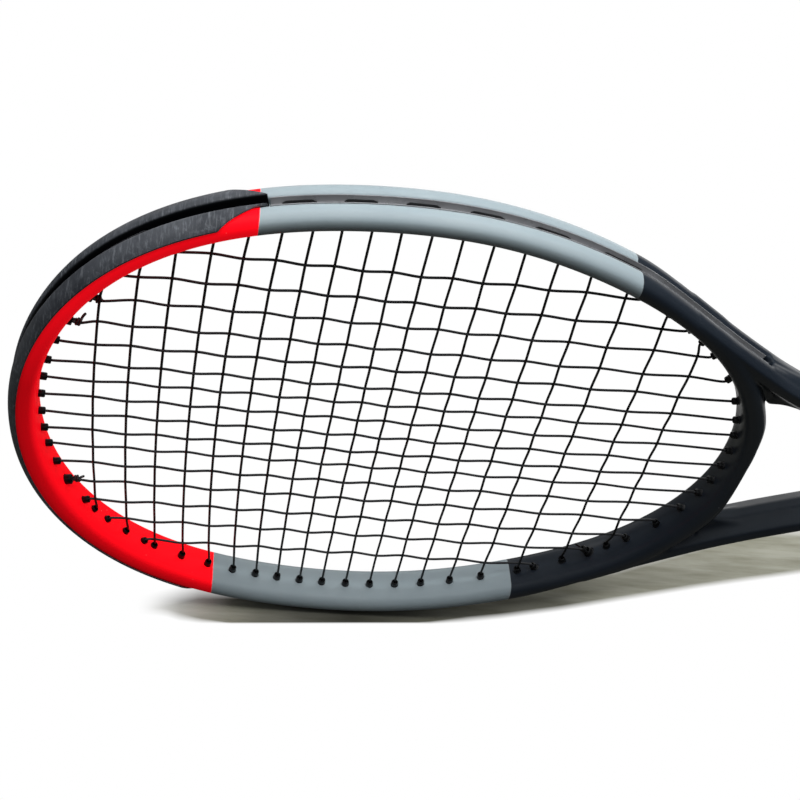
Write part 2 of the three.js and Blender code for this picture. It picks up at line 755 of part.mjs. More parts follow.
// A staple and its pocket share one layout: a bar across Y and two legs towards the axis.
// bar and legs are z ranges, legY is the y range of a leg.
const STAPLE = { halfX: 0.6, halfBar: 5.0, bar: [16.6, 17.0], legY: [4.3, 5.0], legs: [13.9, 16.8] };
const POCKET = { halfX: 1.2, halfBar: 5.6, bar: [16.4, 18], legY: [3.7, 5.3], legs: [13.5, 18] };
function stapleBoxes(sign, { halfX, halfBar, bar, legY, legs }) {
  const rangeX = [STAPLE_X - halfX, STAPLE_X + halfX];
  return [
    box(...rangeX, -halfBar, halfBar, ...mirrorRange(sign, ...bar)),
    ...[-1, 1].map((side) => (
      box(...rangeX, ...mirrorRange(side, ...legY), ...mirrorRange(sign, ...legs)))),
  ];
}
const pockets = SIDES.flatMap((sign) => stapleBoxes(sign, POCKET));
const tackRod = (radius, startY, endY, sideCount) => (
  rod(radius, vec(TACK_X, startY, 0), vec(TACK_X, endY, 0), sideCount));
const tackBore = tackRod(0.9, -20, -12.4);

const pallet = octPrism(PALLET, GRIP_TOP + 0.8, -3.4, grow(HAIRPIN, 0.3));
addPiece('handle_pallet', cut(pallet, [...pockets, tackBore]), MATERIALS.foam);

function buttCap() {
  const outer = octLoft([ // [x, half height, half width, bevel]
    [-28, ...CAP_SLEEVE],
    [-19, 17.1, 15.1, 8.9],
    [-15.5, 18.1, 16.0, 9.3],
    [-9.5, 20.3, 18.0, 10.2],
    [-5, 21.2, 18.8, 10.6],
    [-1.6, 20.8, 18.4, 10.4],
    [0, 19.4, 17.1, 9.8],
  ]);
  const palletSocket = octPrism(grow(PALLET, 0.3), -29, -3.0);
  const doorway = octPrism(DOOR, -4, 1);
  return cut(outer, [palletSocket, doorway, ...pockets, tackBore]);
}
addPiece('butt_cap', buttCap(), MATERIALS.buttCap);

// a plate in the doorway with a barbed leg on each side
function trapdoor() {
  const legs = SIDES.flatMap((side) => [
    box(-8.0, -2.2, ...mirrorRange(side, 7.2, 8.4), -4, 4),
    box(-8.0, -5.6, ...mirrorRange(side, 8.3, 8.75), -4, 4),
  ]);
  return union([octPrism(grow(DOOR, -0.3), -2.3, 0), ...legs]);
}
addPiece('butt_cap_trapdoor', trapdoor(), MATERIALS.door);

addPiece('butt_cap_staple_top', union(stapleBoxes(1, STAPLE)), MATERIALS.metal);
addPiece('butt_cap_staple_bottom', union(stapleBoxes(-1, STAPLE)), MATERIALS.metal);

// the grip is pressed in a little under its finishing tape, and its flats start past the collar
const PRESSED = grow(GRIP, -0.3);
function gripWrap() {
  const outer = octLoft([ // [x, half height, half width, bevel]
    [GRIP_TOP, ...PRESSED],
    [-160.8, ...PRESSED],
    [-159.4, ...GRIP],
    [-31, ...GRIP],
    [-27, 18.8, 16.8, 9.6],
    [-19, 18.9, 16.9, 9.6],
    [GRIP_LOW, 18.6, 16.6, 9.5],
  ]);
  const inside = octLoft([
    [GRIP_TOP - 1, ...grow(PALLET, 0.2)],
    [-30.2, ...grow(PALLET, 0.2)],
    [-28.6, ...grow(CAP_SLEEVE, 0.3)],
    [-19.6, ...grow(CAP_SLEEVE, 0.4)],
    [GRIP_LOW + 1, 17.95, 15.95, 9.3],
  ]);
  return cut(outer, [inside, tackBore]);
}
addPiece('grip_wrap', gripWrap(), MATERIALS.grip);

const tackPin = tackRod(0.5, -17.3, -12.9);
const tackHead = tackRod(2.1, -17.7, -17.15, 10);
addPiece('grip_tack', union([tackPin, tackHead]), MATERIALS.metal);

const tape = octPrism(grow(PRESSED, 0.65), GRIP_TOP - 0.4, GRIP_TOP + 9, grow(PRESSED, 0.2));
addPiece('grip_finishing_tape', tape, MATERIALS.tape);

function collar() {
  const outer = octLoft([ // [x, half height, half width, bevel]
    [COLLAR_START, 16.0, 13.9, 6.0],
    [COLLAR_START + 3, 16.3, 14.2, 6.2],
    [-174, 18.9, 16.9, 8.6],
    [-170, 19.9, 17.9, 9.6],
    [COLLAR_END - 1.5, 19.9, 17.9, 9.6],
    [COLLAR_END, 19.3, 17.3, 9.4],
  ]);
  const shaftHole = octPrism([14.35, 12.15, 3.7], COLLAR_START - 1, COLLAR_END + 1);
  const gripSocket = octLoft([
    [-172.5, 17.2, 15.2, 8.0],
    [-171.2, 18.35, 16.35, 9.1],
    [COLLAR_END + 1, 18.35, 16.35, 9.1],
  ]);
  return cut(outer, [shaftHole, gripSocket]);
}
addPiece('grip_collar', collar(), MATERIALS.collar);

export default group;
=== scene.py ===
"""Tennis racket: fine surfaces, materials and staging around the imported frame.

Row frame in metres: +X from the tip of the head to the butt (x = 0), +Z up in the plane of
the strings, Y across the beam with the front at -Y. Shapes are worked out in millimetres.
Up to the shaft, x is counted from the tenth cross string (row x = x - BUTT); the handle is
given in row x. Meshes are turned into metres when they are made.
"""
import math

import bpy
import numpy as np
from mathutils import Matrix, Vector


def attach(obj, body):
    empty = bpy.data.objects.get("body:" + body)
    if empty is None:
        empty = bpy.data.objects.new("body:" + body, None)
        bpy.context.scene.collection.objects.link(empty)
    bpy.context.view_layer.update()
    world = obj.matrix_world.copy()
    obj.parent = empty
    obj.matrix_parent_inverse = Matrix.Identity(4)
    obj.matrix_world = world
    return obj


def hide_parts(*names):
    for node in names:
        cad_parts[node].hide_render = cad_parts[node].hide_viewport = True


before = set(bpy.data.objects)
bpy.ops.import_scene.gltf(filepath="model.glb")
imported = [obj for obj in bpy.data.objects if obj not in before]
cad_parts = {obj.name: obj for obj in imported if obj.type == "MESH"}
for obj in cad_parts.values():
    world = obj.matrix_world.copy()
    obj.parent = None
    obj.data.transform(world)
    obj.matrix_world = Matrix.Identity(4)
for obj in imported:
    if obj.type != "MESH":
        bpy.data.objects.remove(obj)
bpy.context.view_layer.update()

MM = 0.001
BUTT = 525.0         # butt end, from the tenth cross string
DEG = math.pi / 180
HOOP_T = 11.56       # hoop thickness in the string plane
ARM_T = 12.9
STRING_R = 0.62
MOUTH = 3.0          # how far a barrel stands out inside the hoop
SHORT_MOUTH = 1.6    # the same at the shoulders of the head
LANE, LANE_Y = 8.3, 1.35       # string lane in the channel: distance from inner face, and y
TAIL_LANE, TAIL_Y = 9.65, 0.75
FLOOR = 7.4          # floor of the string channel, from the inner face
COLLECTION = bpy.context.scene.collection


# ------------------------------------------------------------------ mesh helpers
def volume(v, faces):
    """Six times the signed volume; positive when the faces point out."""
    total = 0.0
    for f in faces:
        a = v[f[0]]
        for i in range(1, len(f) - 1):
            total += float(np.dot(a, np.cross(v[f[i]], v[f[i + 1]])))
    return total


def add_object(name, mesh):
    ob = bpy.data.objects.new(name, mesh)
    COLLECTION.objects.link(ob)
    return ob


def swap_mesh(ob, mesh):
    old, ob.data = ob.data, mesh
    bpy.data.meshes.remove(old)


class Soup:
    """Collects closed parts in mm; each is turned outwards as it is added."""

    def __init__(self):
        self.verts, self.faces, self.count = [], [], 0

    def add(self, v, faces):
        v = np.asarray(v, float)
        if volume(v, faces) < 0:
            faces = [f[::-1] for f in faces]
        self.verts.append(v)
        self.faces += [[int(i) + self.count for i in f] for f in faces]
        self.count += len(v)
        return self

    def make(self, name):
        mesh = bpy.data.meshes.new(name)
        mesh.from_pydata((np.concatenate(self.verts) * MM).tolist(), [], self.faces)
        mesh.validate()
        return add_object(name, mesh)


def solid(name, v, faces):
    return Soup().add(v, faces).make(name)


def drop(ob):
    mesh = ob.data
    bpy.data.objects.remove(ob)
    bpy.data.meshes.remove(mesh)


def boolean(ob, other, operation):
    """Applies the boolean to ob and removes the other object."""
    mod = ob.modifiers.new("cut", "BOOLEAN")
    mod.operation, mod.object, mod.solver = operation, other, "MANIFOLD"
    depsgraph = bpy.context.evaluated_depsgraph_get()
    mesh = bpy.data.meshes.new_from_object(ob.evaluated_get(depsgraph))
    ob.modifiers.clear()
    if len(mesh.polygons) < 8:
        raise RuntimeError(f"boolean on {ob.name} came out empty")
    swap_mesh(ob, mesh)
    drop(other)


def vertex_array(mesh):
    co = np.empty(len(mesh.vertices) * 3, np.float32)
    mesh.vertices.foreach_get("co", co)
    return co.reshape(-1, 3)


def join_into(ob, other):
    """Adds the other object's mesh to ob, as a separate shell of the same piece."""
    a, b = ob.data, other.data
    n = len(a.vertices)
    faces = [list(p.vertices) for p in a.polygons]
    faces += [[i + n for i in p.vertices] for p in b.polygons]
    mesh = bpy.data.meshes.new(ob.name)
    mesh.from_pydata(np.concatenate([vertex_array(a), vertex_array(b)]).tolist(), [], faces)
    swap_mesh(ob, mesh)
    drop(other)


def smooth(ob, angle):
    """Smooth shading, with edges sharper than the angle (degrees) kept crisp."""
    mesh = ob.data
    mesh.polygons.foreach_set("use_smooth", np.ones(len(mesh.polygons), bool))
    mesh.set_sharp_from_angle(angle=angle * DEG)
    return ob


def register(ob, replaces, rides="racket"):
    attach(ob, rides)
    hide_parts(replaces)
    return ob


def ring_faces(n_rows, m, closed=False):
    """Quads between rows of m points; the rows close on themselves or are capped."""
    faces = []
    for row in range(n_rows if closed else n_rows - 1):
        p, q = row * m, ((row + 1) % n_rows) * m
        for i in range(m):
            j = (i + 1) % m
            faces.append([p + i, p + j, q + j, q + i])
    if not closed:
        faces.append(list(range(m))[::-1])
        faces.append([(n_rows - 1) * m + i for i in range(m)])
    return faces


def unit(a):
    a = np.asarray(a, float)
    return a / np.maximum(np.linalg.norm(a, axis=-1, keepdims=True), 1e-12)


def smoothstep(v, a, b):
    t = np.clip((v - a) / (b - a), 0, 1)
    return t * t * (3 - 2 * t)


def tube(points, radius, sides=10):
    """A round tube with rounded ends along points, with parallel-transported frames."""
    p = np.asarray(points, float)
    seg = unit(p[1:] - p[:-1])
    tangent = np.concatenate([seg[:1], unit(seg[1:] + seg[:-1]), seg[-1:]])
    normal = np.zeros_like(p)
    ref = np.array([0.0, 1.0, 0.0])
    if abs(tangent[0] @ ref) > 0.9:
        ref = np.array([1.0, 0.0, 0.0])
    normal[0] = unit(ref - tangent[0] * (ref @ tangent[0]))
    for i in range(1, len(p)):
        normal[i] = unit(normal[i - 1] - tangent[i] * (normal[i - 1] @ tangent[i]))
    side = np.cross(tangent, normal)
    reach = np.array([[0.8], [0.45]]) * radius
    p = np.concatenate([p[0] - tangent[0] * reach, p, p[-1] + tangent[-1] * reach[::-1]])
    normal = np.concatenate([[normal[0]] * 2, normal, [normal[-1]] * 2])
    side = np.concatenate([[side[0]] * 2, side, [side[-1]] * 2])
    radii = np.full(len(p), radius)
    radii[[0, -1]] = radius * 0.5
    radii[[1, -2]] = radius * 0.88
    a = (np.arange(sides) * 2 * math.pi / sides)[None, :, None]
    around = np.cos(a) * normal[:, None] + np.sin(a) * side[:, None]
    v = p[:, None] + radii[:, None, None] * around
    return v.reshape(-1, 3), ring_faces(len(p), sides)


def lathe(profile, centre, axis, sides):
    """Closed body of revolution from [distance along axis, radius]; its ends lie on the axis."""
    ax = unit(axis)
    u = unit(np.cross(ax, [0.0, 1.0, 0.0] if abs(ax[1]) < 0.9 else [1.0, 0.0, 0.0]))
    w = np.cross(ax, u)
    a = np.arange(sides) * 2 * math.pi / sides
    spokes = np.cos(a)[:, None] * u + np.sin(a)[:, None] * w
    c = np.asarray(centre, float)
    v = [c + ax * profile[0][0]]
    rings = []
    for s, r in profile[1:-1]:
        rings.append(len(v))
        v += list(c + ax * s + spokes * r)
    v.append(c + ax * profile[-1][0])
    last = len(v) - 1
    faces = []
    for i in range(sides):
        j = (i + 1) % sides
        faces.append([0, rings[0] + j, rings[0] + i])
        for p, q in zip(rings, rings[1:]):
            faces.append([p + i, p + j, q + j, q + i])
        faces.append([rings[-1] + i, rings[-1] + j, last])
    return np.array(v), faces


def spline(points, spacing):
    """Centripetal Catmull-Rom through the points, about one sample per spacing."""
    p = np.asarray(points, float)
    keep = [0]
    for i in range(1, len(p)):
        if np.linalg.norm(p[i] - p[keep[-1]]) > 0.05:
            keep.append(i)
    p = p[keep]
    padded = np.concatenate([[2 * p[0] - p[1]], p, [2 * p[-1] - p[-2]]])
    out = []
    for i in range(len(p) - 1):
        p0, p1, p2, p3 = padded[i:i + 4]
        t0 = 0.0
        t1 = t0 + np.linalg.norm(p1 - p0) ** 0.5
        t2 = t1 + np.linalg.norm(p2 - p1) ** 0.5
        t3 = t2 + np.linalg.norm(p3 - p2) ** 0.5
        n = max(1, int(math.ceil(np.linalg.norm(p2 - p1) / spacing)))
        t = (t1 + (t2 - t1) * np.arange(n) / n)[:, None]

        def between(a, b, ta, tb):
            return (tb - t) / (tb - ta) * a + (t - ta) / (tb - ta) * b

        a1 = between(p0, p1, t0, t1)
        a2 = between(p1, p2, t1, t2)
        a3 = between(p2, p3, t2, t3)
        out.append(between(between(a1, a2, t0, t2), between(a2, a3, t1, t3), t1, t2))
    out.append(p[-1:])
    return np.concatenate(out)


def uniform_spline(points, per):
    """Uniform Catmull-Rom with a fixed number of samples per span."""
    p = np.asarray(points, float)
    n = len(p)
    out = []
    for i in range(n - 1):
        p0, p1, p2, p3 = p[max(i - 1, 0)], p[i], p[i + 1], p[min(i + 2, n - 1)]
        v0, v1 = (p2 - p0) * 0.5, (p3 - p1) * 0.5
        for k in range(per):
            t = k / per
            out.append((2 * p1 - 2 * p2 + v0 + v1) * t ** 3
                       + (-3 * p1 + 3 * p2 - 2 * v0 - v1) * t * t + v0 * t + p1)
    out.append(p[-1])
    return np.array(out)


# ------------------------------------------------------------------ edges of the head
HEAD_X = 15.87
# cosine terms of the inner face's radius by angle: constant, cos(phi), cos(2 phi) ...
HEAD_R = np.array([144.39, 0.08, 22.2, -3.4, 1.82, -1.33, -0.01])
HARMONICS = np.arange(7)
# outer edge of the upper arm down to the shaft: x, z
ARM_OUTER = [
    [157, 86.3], [166.7, 80.8], [176, 75.3], [185.5, 69.8], [195, 64.4], [204.5, 59.6],
    [214.5, 54.9], [226, 49.8], [243, 42.8], [258, 36.5], [272, 30.7], [285, 25.6],
    [298, 20.9], [310, 17.2], [320, 14.9], [328, 14.05], [336, 14.0], [353, 14.0]]
HOOP_END_DEG = 141.01
CHAIN_X = 95         # past this x, depth is measured from the outer edge


def inner(phi):
    """Inner face at an angle (0 tip, pi bridge): x, z, outward normal and tangent."""
    phi = np.asarray(phi, float)
    c, s = np.cos(phi[..., None] * HARMONICS), np.sin(phi[..., None] * HARMONICS)
    r, dr = c @ HEAD_R, -(s * HARMONICS) @ HEAD_R
    cp, sp = np.cos(phi), np.sin(phi)
    x, z = HEAD_X - r * cp, r * sp
    tx, tz = -dr * cp + r * sp, dr * sp + r * cp
    length = np.hypot(tx, tz)
    return x, z, -tz / length, tx / length, tx, tz


def inner_point(phi):
    return [float(value) for value in inner(phi)[:4]]


def head_distance(px, pz):
    """Signed distance from the inner face, outwards, and the angle, for points with z >= 0."""
    phi = np.arctan2(pz, HEAD_X - px)
    for _ in range(12):
        x, z, _, _, tx, tz = inner(phi)
        phi = phi + ((px - x) * tx + (pz - z) * tz) / (tx * tx + tz * tz)
    x, z, nx, nz, _, _ = inner(phi)
    return (px - x) * nx + (pz - z) * nz, phi


def outer_chain():
    """Upper outer edge from the tip to the shaft: stations, points and outward normals."""
    phi = np.arange(0, HOOP_END_DEG, 1.5) * DEG
    x, z, nx, nz, _, _ = inner(phi)
    arm = np.array(ARM_OUTER, float)
    drawn_in = smoothstep(arm[:, 0], 132, 170) * (1 - smoothstep(arm[:, 0], 235, 300))
    arm[:, 1] -= 1.9 * drawn_in
    thickness = HOOP_T - 1.2 * smoothstep(phi / DEG, 130, 142)
    hoop = np.stack([x + nx * thickness, z + nz * thickness], 1)
    d = uniform_spline(np.concatenate([hoop, arm]), 6)
    before, after = np.concatenate([d[:1], d[:-1]]), np.concatenate([d[1:], d[-1:]])
    t = unit(after - before)
    normals = np.stack([-t[:, 1], t[:, 0]], 1)
    normals[0] = (-1, 0)
    steps = np.linalg.norm(d[1:] - d[:-1], axis=1)
    return np.concatenate([[0], np.cumsum(steps)]), d, normals


OUTER_U, OUTER_P, OUTER_N = outer_chain()


def outer_at(u):
    """Signed station along the outer edge (negative: lower side): x, z, nx, nz."""
    u = np.asarray(u, float)
    side, a = np.where(u < 0, -1.0, 1.0), np.abs(u)
    x, z, nx, nz = (np.interp(a, OUTER_U, column) for column in (*OUTER_P.T, *OUTER_N.T))
    length = np.hypot(nx, nz)
    return x, side * z, nx / length, side * nz / length


def u_at_x(x):
    """Station of the first crossing of x, away from the tip."""
    px = OUTER_P[:, 0]
    return OUTER_U[np.where((px[1:] > x) & (px[:-1] <= x) & (OUTER_U[1:] > 20))[0][0] + 1]


# ------------------------------------------------------------------ string holes
MAINS_Z = [5.63, 16.74, 27.27, 39.72, 52.51, 66.73, 80.97, 96.55]
CROSS_X = [-117.69, -103.5, -89.94, -75.81, -62.12, -48.98, -36.65, -24.73, -12.39, 0,
           12.9, 26.2, 39.95, 54.07, 69.54, 85.78, 104.21, 126.34, 148.52]
# how far the middle of each cross string is bowed along x
CROSS_BOW = [-5.8, -4.7, -4.0, -3.5, -4.2, -3.4, -2.3, -1.3, -0.9, -0.4,
             -0.8, -0.5, -0.4, -0.1, 0.3, 1.0, 1.3, 1.0, 0.6]
BOW_HALF_SPAN = 110
# share by which each main's hole turns from the hoop's normal to the string's own line
MAIN_LEAN = {"tip": [.5, .5, .5, .5, .5, .4, .2, .2], "throat": [.7, .7, .7, .7, 0, .1, .4, .4]}
SET_DIRECTION = {(4, "throat"): (0.52, 0.85)}
# holes that also take a knotted tail: index of the main, side, end
ANCHORS = {(4, -1, "tip"), (4, 1, "tip"), (5, 1, "tip"), (6, -1, "throat")}


def cross_x(i, z):
    return CROSS_X[i] + CROSS_BOW[i] * (1 - (z / BOW_HALF_SPAN) ** 2)


def bisect(f, a, b):
    fa = f(a)
    for _ in range(50):
        m = (a + b) / 2
        fm = f(m)
        if (fm > 0) == (fa > 0):
            a, fa = m, fm
        else:
            b = m
    return (a + b) / 2


class Hole:
    """A string hole: its place and line at the inner face, and where it meets the lane."""

    def __init__(self, index, sign, end):
        self.sign, self.end = sign, end
        main = end != "side"
        self.bridge = end == "throat" and index < 4
        self.anchor = (index, sign, end) in ANCHORS
        # radii of the bore in the barrel, of the barrel, and of the hole in the frame
        self.bore_r, self.barrel_r, self.hole_r = (
            (1.9, 2.5, 2.9) if self.anchor else (1.12, 1.78, 2.1))
        shoulder = (end == "tip" and index > 5) or (not main and index < 3)
        mouth = self.mouth = SHORT_MOUTH if shoulder else MOUTH
        if main:
            lean = MAIN_LEAN[end][index]
            to = (-1 if end == "tip" else 1, 0)
        else:
            lean = 0.2 if index < 2 else 0.4 if index > 15 else 0.55
            to = (0, 1)

        def direction(q):
            d = (q[2] * (1 - lean) + to[0] * lean, q[3] * (1 - lean) + to[1] * lean)
            d = SET_DIRECTION.get((index, end), d)
            length = math.hypot(*d)
            return d[0] / length, d[1] / length

        def miss(phi):
            """How far the barrel's mouth lies off its string."""
            q = inner_point(phi)
            d = direction(q)
            x, z = q[0] - mouth * d[0], q[1] - mouth * d[1]
            return z - MAINS_Z[index] if main else x - cross_x(index, z)

        search = {"tip": (0, 75), "throat": (180, 100), "side": (20, 150)}[end]
        self.phi = bisect(miss, search[0] * DEG, search[1] * DEG)
        q = inner_point(self.phi)
        d = direction(q)
        self.x, self.z = q[0], sign * q[1]
        self.dx, self.dz = d[0], sign * d[1]

        if self.bridge:
            stations = np.arange(self.phi - 0.25, self.phi + 0.25, 0.0005)
            x, z, nx, nz, _, _ = inner(stations)
            lane_x, lane_z = x + nx * LANE, z + nz * LANE
        else:
            stations = OUTER_U
            lane_x, lane_z = (OUTER_P - OUTER_N * (HOOP_T - LANE)).T
        t = (lane_x - q[0]) * d[0] + (lane_z - q[1]) * d[1]
        off = np.abs((lane_x - q[0]) * d[1] - (lane_z - q[1]) * d[0])
        off[(t < 3) | (t > 40)] = 1e9
        k = int(np.argmin(off))
        # signed: an angle at the bridge, a station along the outer edge elsewhere
        self.station, self.far = sign * float(stations[k]), float(t[k])

    def at(self, s, y=0.0):
        """Row point at distance s outwards along the hole."""
        return np.array([self.x + self.dx * s - BUTT, y, self.z + self.dz * s])

    def inside(self, s, y=0.0):
        """Row point at distance s inwards from the mouth."""
        return self.at(-self.mouth - s, y)


MAIN_HOLES = {(i, sign, end): Hole(i, sign, end)
              for sign in (1, -1) for i in range(8) for end in ("tip", "throat")}
CROSS_HOLES = {(i, sign): Hole(i, sign, "side") for sign in (1, -1) for i in range(19)}
HOLES = sorted([*MAIN_HOLES.values(), *CROSS_HOLES.values()], key=lambda h: (h.sign, h.phi))


def through_holes(ob, holes, operation, profile, sides=22):
    """Boolean with a turned body in each hole, every second hole at a time to clear overlaps."""
    for part in (0, 1):
        soup = Soup()
        for h in holes[part::2]:
            soup.add(*lathe(profile(h), h.at(0), [h.dx, 0, h.dz], sides))
        boolean(ob, soup.make("cutter"), operation)


# ------------------------------------------------------------------ frame: one moulded shell
def edges_to_planes(points):
    """Half planes of a convex chain of (s, y) points, walked from the inner face outwards."""
    rows = []
    for (s0, y0), (s1, y1) in zip(points[:-1], points[1:]):
        ds, dy = s1 - s0, y1 - y0
        length = math.hypot(ds, dy)
        ns, ny = -dy / length, ds / length
        rows.append((ns, ny, ns * s0 + ny * y0))
    return rows


# half sections: distance from the inner face, y
HOOP_PLANES = edges_to_planes([(0, 0), (0, 6.6), (1.0, 9.7), (4.0, 12.2), (8.1, 12.15),
                               (10.8, 9.3), (HOOP_T, 5.6), (HOOP_T, 0)])
ARM_PLANES = edges_to_planes([(HOOP_T - ARM_T, 0), (HOOP_T - ARM_T, 2.6), (3.7, 11.0),
                              (8.5, 12.0), (10.9, 8.8), (HOOP_T, 5.2), (HOOP_T, 0)])
SHAFT_HALF_Z, SHAFT_HALF_Y, SHAFT_BEVEL = 14.0, 11.75, 3.6
SHAFT_PLANES = [(1, 0, SHAFT_HALF_Z), (0, 1, SHAFT_HALF_Y),
                (0.7071, 0.7071, 0.7071 * (SHAFT_HALF_Z + SHAFT_HALF_Y - SHAFT_BEVEL))]
SHAFT_X, SHAFT_END = 326, 353
BRIDGE_BACK_X = 197.5
WEB_X, WEB_HALF_Z = 304, 9.5
SLOT_HALF_Y, SLOT_FLOOR = 2.9, 6.8
GROOVE_END = 240
# corner of bridge and arm: x, z
GUSSET = [(183, 60), (190.8, 44.4), (192.6, 42.6), (209.5, 43.0), (213, 46), (203, 60), (186, 67)]


def smax(a, b, k):
    """Maximum with a rounded corner of width k."""
    h = np.maximum(k - np.abs(a - b), 0)
    return np.maximum(a, b) + h * h / (4 * k)


def smin(a, b, k):
    return -smax(-a, -b, k)


def planes(s, y, rows, k):
    """Convex half section as smooth maximum of half planes: rows of (ns, ny, offset)."""
    f = None
    for ns, ny, offset in rows:
        g = ns * s + ny * y - offset
        f = g if f is None else smax(f, g, k)
    return f


def chain_distance(px, pz):
    """Signed distance to the outer edge (positive outside) for points with z >= 0."""
    first = np.searchsorted(OUTER_U, u_at_x(CHAIN_X)) - 12
    a, ab = OUTER_P[first:-1], OUTER_P[first + 1:] - OUTER_P[first:-1]
    normal_a, normal_b = OUTER_N[first:-1], OUTER_N[first + 1:]
    length2 = (ab ** 2).sum(1)
    out = np.empty(len(px))
    for i in range(0, len(px), 6000):
        p = np.stack([px[i:i + 6000], pz[i:i + 6000]], 1)
        d = p[:, None] - a[None]
        t = np.clip((d * ab[None]).sum(2) / length2, 0, 1)
        r = d - t[..., None] * ab[None]
        k = (r ** 2).sum(2).argmin(1)
        rows = np.arange(len(p))
        tk = t[rows, k][:, None]
        n = unit(normal_a[k] * (1 - tk) + normal_b[k] * tk)
        out[i:i + 6000] = (r[rows, k] * n).sum(1)
    return out


def poly_distance(px, pz, poly):
    """Signed distance to a plan polygon, negative inside."""
    p = np.asarray(poly, float)
    best = np.full(px.shape, 1e9)
    inside = np.zeros(px.shape, bool)
    for i in range(len(p)):
        a, b = p[i], p[(i + 1) % len(p)]
        e = b - a
        t = np.clip(((px - a[0]) * e[0] + (pz - a[1]) * e[1]) / (e @ e), 0, 1)
        best = np.minimum(best, np.hypot(px - a[0] - t * e[0], pz - a[1] - t * e[1]))
        edge_x = (b[0] - a[0]) * (pz - a[1]) / (b[1] - a[1] + 1e-12) + a[0]
        inside ^= ((a[1] > pz) != (b[1] > pz)) & (px < edge_x)
    return np.where(inside, -best, best)


def hoop_field(s_in, s_out, x, y, z):
    hoop = planes(s_in, y, HOOP_PLANES, 1.3)
    # the back of the bridge is drawn in flat behind its strip
    flat = x - (BRIDGE_BACK_X - 0.0011 * z * z) + np.maximum(y - 5.6, 0) * 0.45
    hoop = np.where((z < 60) & (x > 150), smax(hoop, flat, 2.0), hoop)
    hoop = np.maximum(hoop, x - 208)
    return np.maximum(hoop, planes(s_out, y, HOOP_PLANES[3:], 1.3))


def arm_field(s_out, x, y):
    """Arms: deeper at the hoop, drawn in towards the shaft."""
    arm = planes(s_out, y * (1 + 0.03 * smoothstep(x, 295, 330)), ARM_PLANES, 0.9)
    arm = smax(arm, (138 - x) * 0.8, 2)
    arm = arm + 1.2 * (1 - smoothstep(x, 146, 172)) * (1 - smoothstep(s_out, 6.5, 9.5))
    return smax(arm, x - 341, 1)


def web_field(x, y, z):
    """Web that closes the V between the arms, with a round hollow at its open end."""
    web = smax(smax(z - WEB_HALF_Z, WEB_X - x, 1), 5.4 - np.hypot(x - 303.2, z), 2.5)
    web = smax(web, x - 352, 1)
    return smax(web, y - (3.4 + 7.8 * smoothstep(x, 302, 344)), 3.0)


def shaft_field(x, y, z):
    shaft = planes(z, y, SHAFT_PLANES, 1.0)
    shaft = smax(shaft, SHAFT_X - x, 1)
    shaft = smax(shaft, x - SHAFT_END, 0.6)
    return shaft + 0.8 * (1 - smoothstep(x, SHAFT_X, 338))


def cut_groove(f, s, y, where, dip_s, slope, steepness, floor_s):
    """A dished edge at depth dip_s with a straight slot down to floor_s."""
    dip = (s - (dip_s + np.maximum(y - 3.2, 0) * slope)) / steepness
    f = np.where(where, smax(f, dip, 0.7), f)
    slot = smax(y - SLOT_HALF_Y, floor_s - s, 0.4)
    return np.where(where, smax(f, -slot, 0.45), f)


def frame_field(px, pz, py):
    """Columns px, pz (n,) and heights py (m,) -> field (n, m); negative inside the frame."""
    s_in, phi = head_distance(px, pz)
    s_out = s_in.copy()
    far = px > CHAIN_X
    s_out[far] = HOOP_T + chain_distance(px[far], pz[far])
    gusset = poly_distance(px, pz, GUSSET)[:, None]
    y = np.abs(py)[None, :]
    s_in, s_out, x, z = s_in[:, None], s_out[:, None], px[:, None], pz[:, None]
    from_bridge = np.abs(phi - math.pi)[:, None]

    # a crisp valley between hoop and arm on the faces, a hollow round corner inside
    corner = smoothstep(x, 174, 188) * (1 - smoothstep(y, 2.5, 9.5))
    f = smin(hoop_field(s_in, s_out, x, y, z), arm_field(s_out, x, y), 1.4 + 3.0 * corner)
    f = smin(f, web_field(x, y, z), 3.0)
    f = smin(f, shaft_field(x, y, z), 2.5)

    # string groove in the outer edge, fading out on the arms
    f = cut_groove(f, s_out, y, x < GROOVE_END, slope=0.55, steepness=1.14,
                   dip_s=10.35 + 3.4 * smoothstep(x, 227, 236),
                   floor_s=SLOT_FLOOR + 5.5 * smoothstep(x, 226, 233))
    # and in the back of the bridge
    fade = 3.2 * smoothstep(from_bridge, 13.2 * DEG, 15.5 * DEG)
    f = cut_groove(f, s_in, y, (from_bridge < 16 * DEG) & (s_in < 16), slope=0.5,
                   steepness=1.12, dip_s=10.1 + fade, floor_s=SLOT_FLOOR + 1.7 * fade)
    # the gusset is set back from both faces
    return smin(f, smax(gusset, y - 4.2, 3.0), 3.4)


CORNERS = [(i, j, k) for i in (0, 1) for j in (0, 1) for k in (0, 1)]


def corner_values(field, cells):
    return {c: field[tuple((cells + np.array(c)).T)] for c in CORNERS}


def sample(field, pos):
    """Trilinear value and gradient at grid positions."""
    cells = np.clip(np.floor(pos).astype(int), 0, np.array(field.shape) - 2)
    t = pos - cells
    value, gradient = 0, np.zeros_like(pos)
    for c, corner in corner_values(field, cells).items():
        w = [t[:, k] if c[k] else 1 - t[:, k] for k in range(3)]
        value = value + corner * w[0] * w[1] * w[2]
        for k in range(3):
            m, n = [axis for axis in range(3) if axis != k]
            gradient[:, k] += (1 if c[k] else -1) * corner * w[m] * w[n]
    return value, gradient


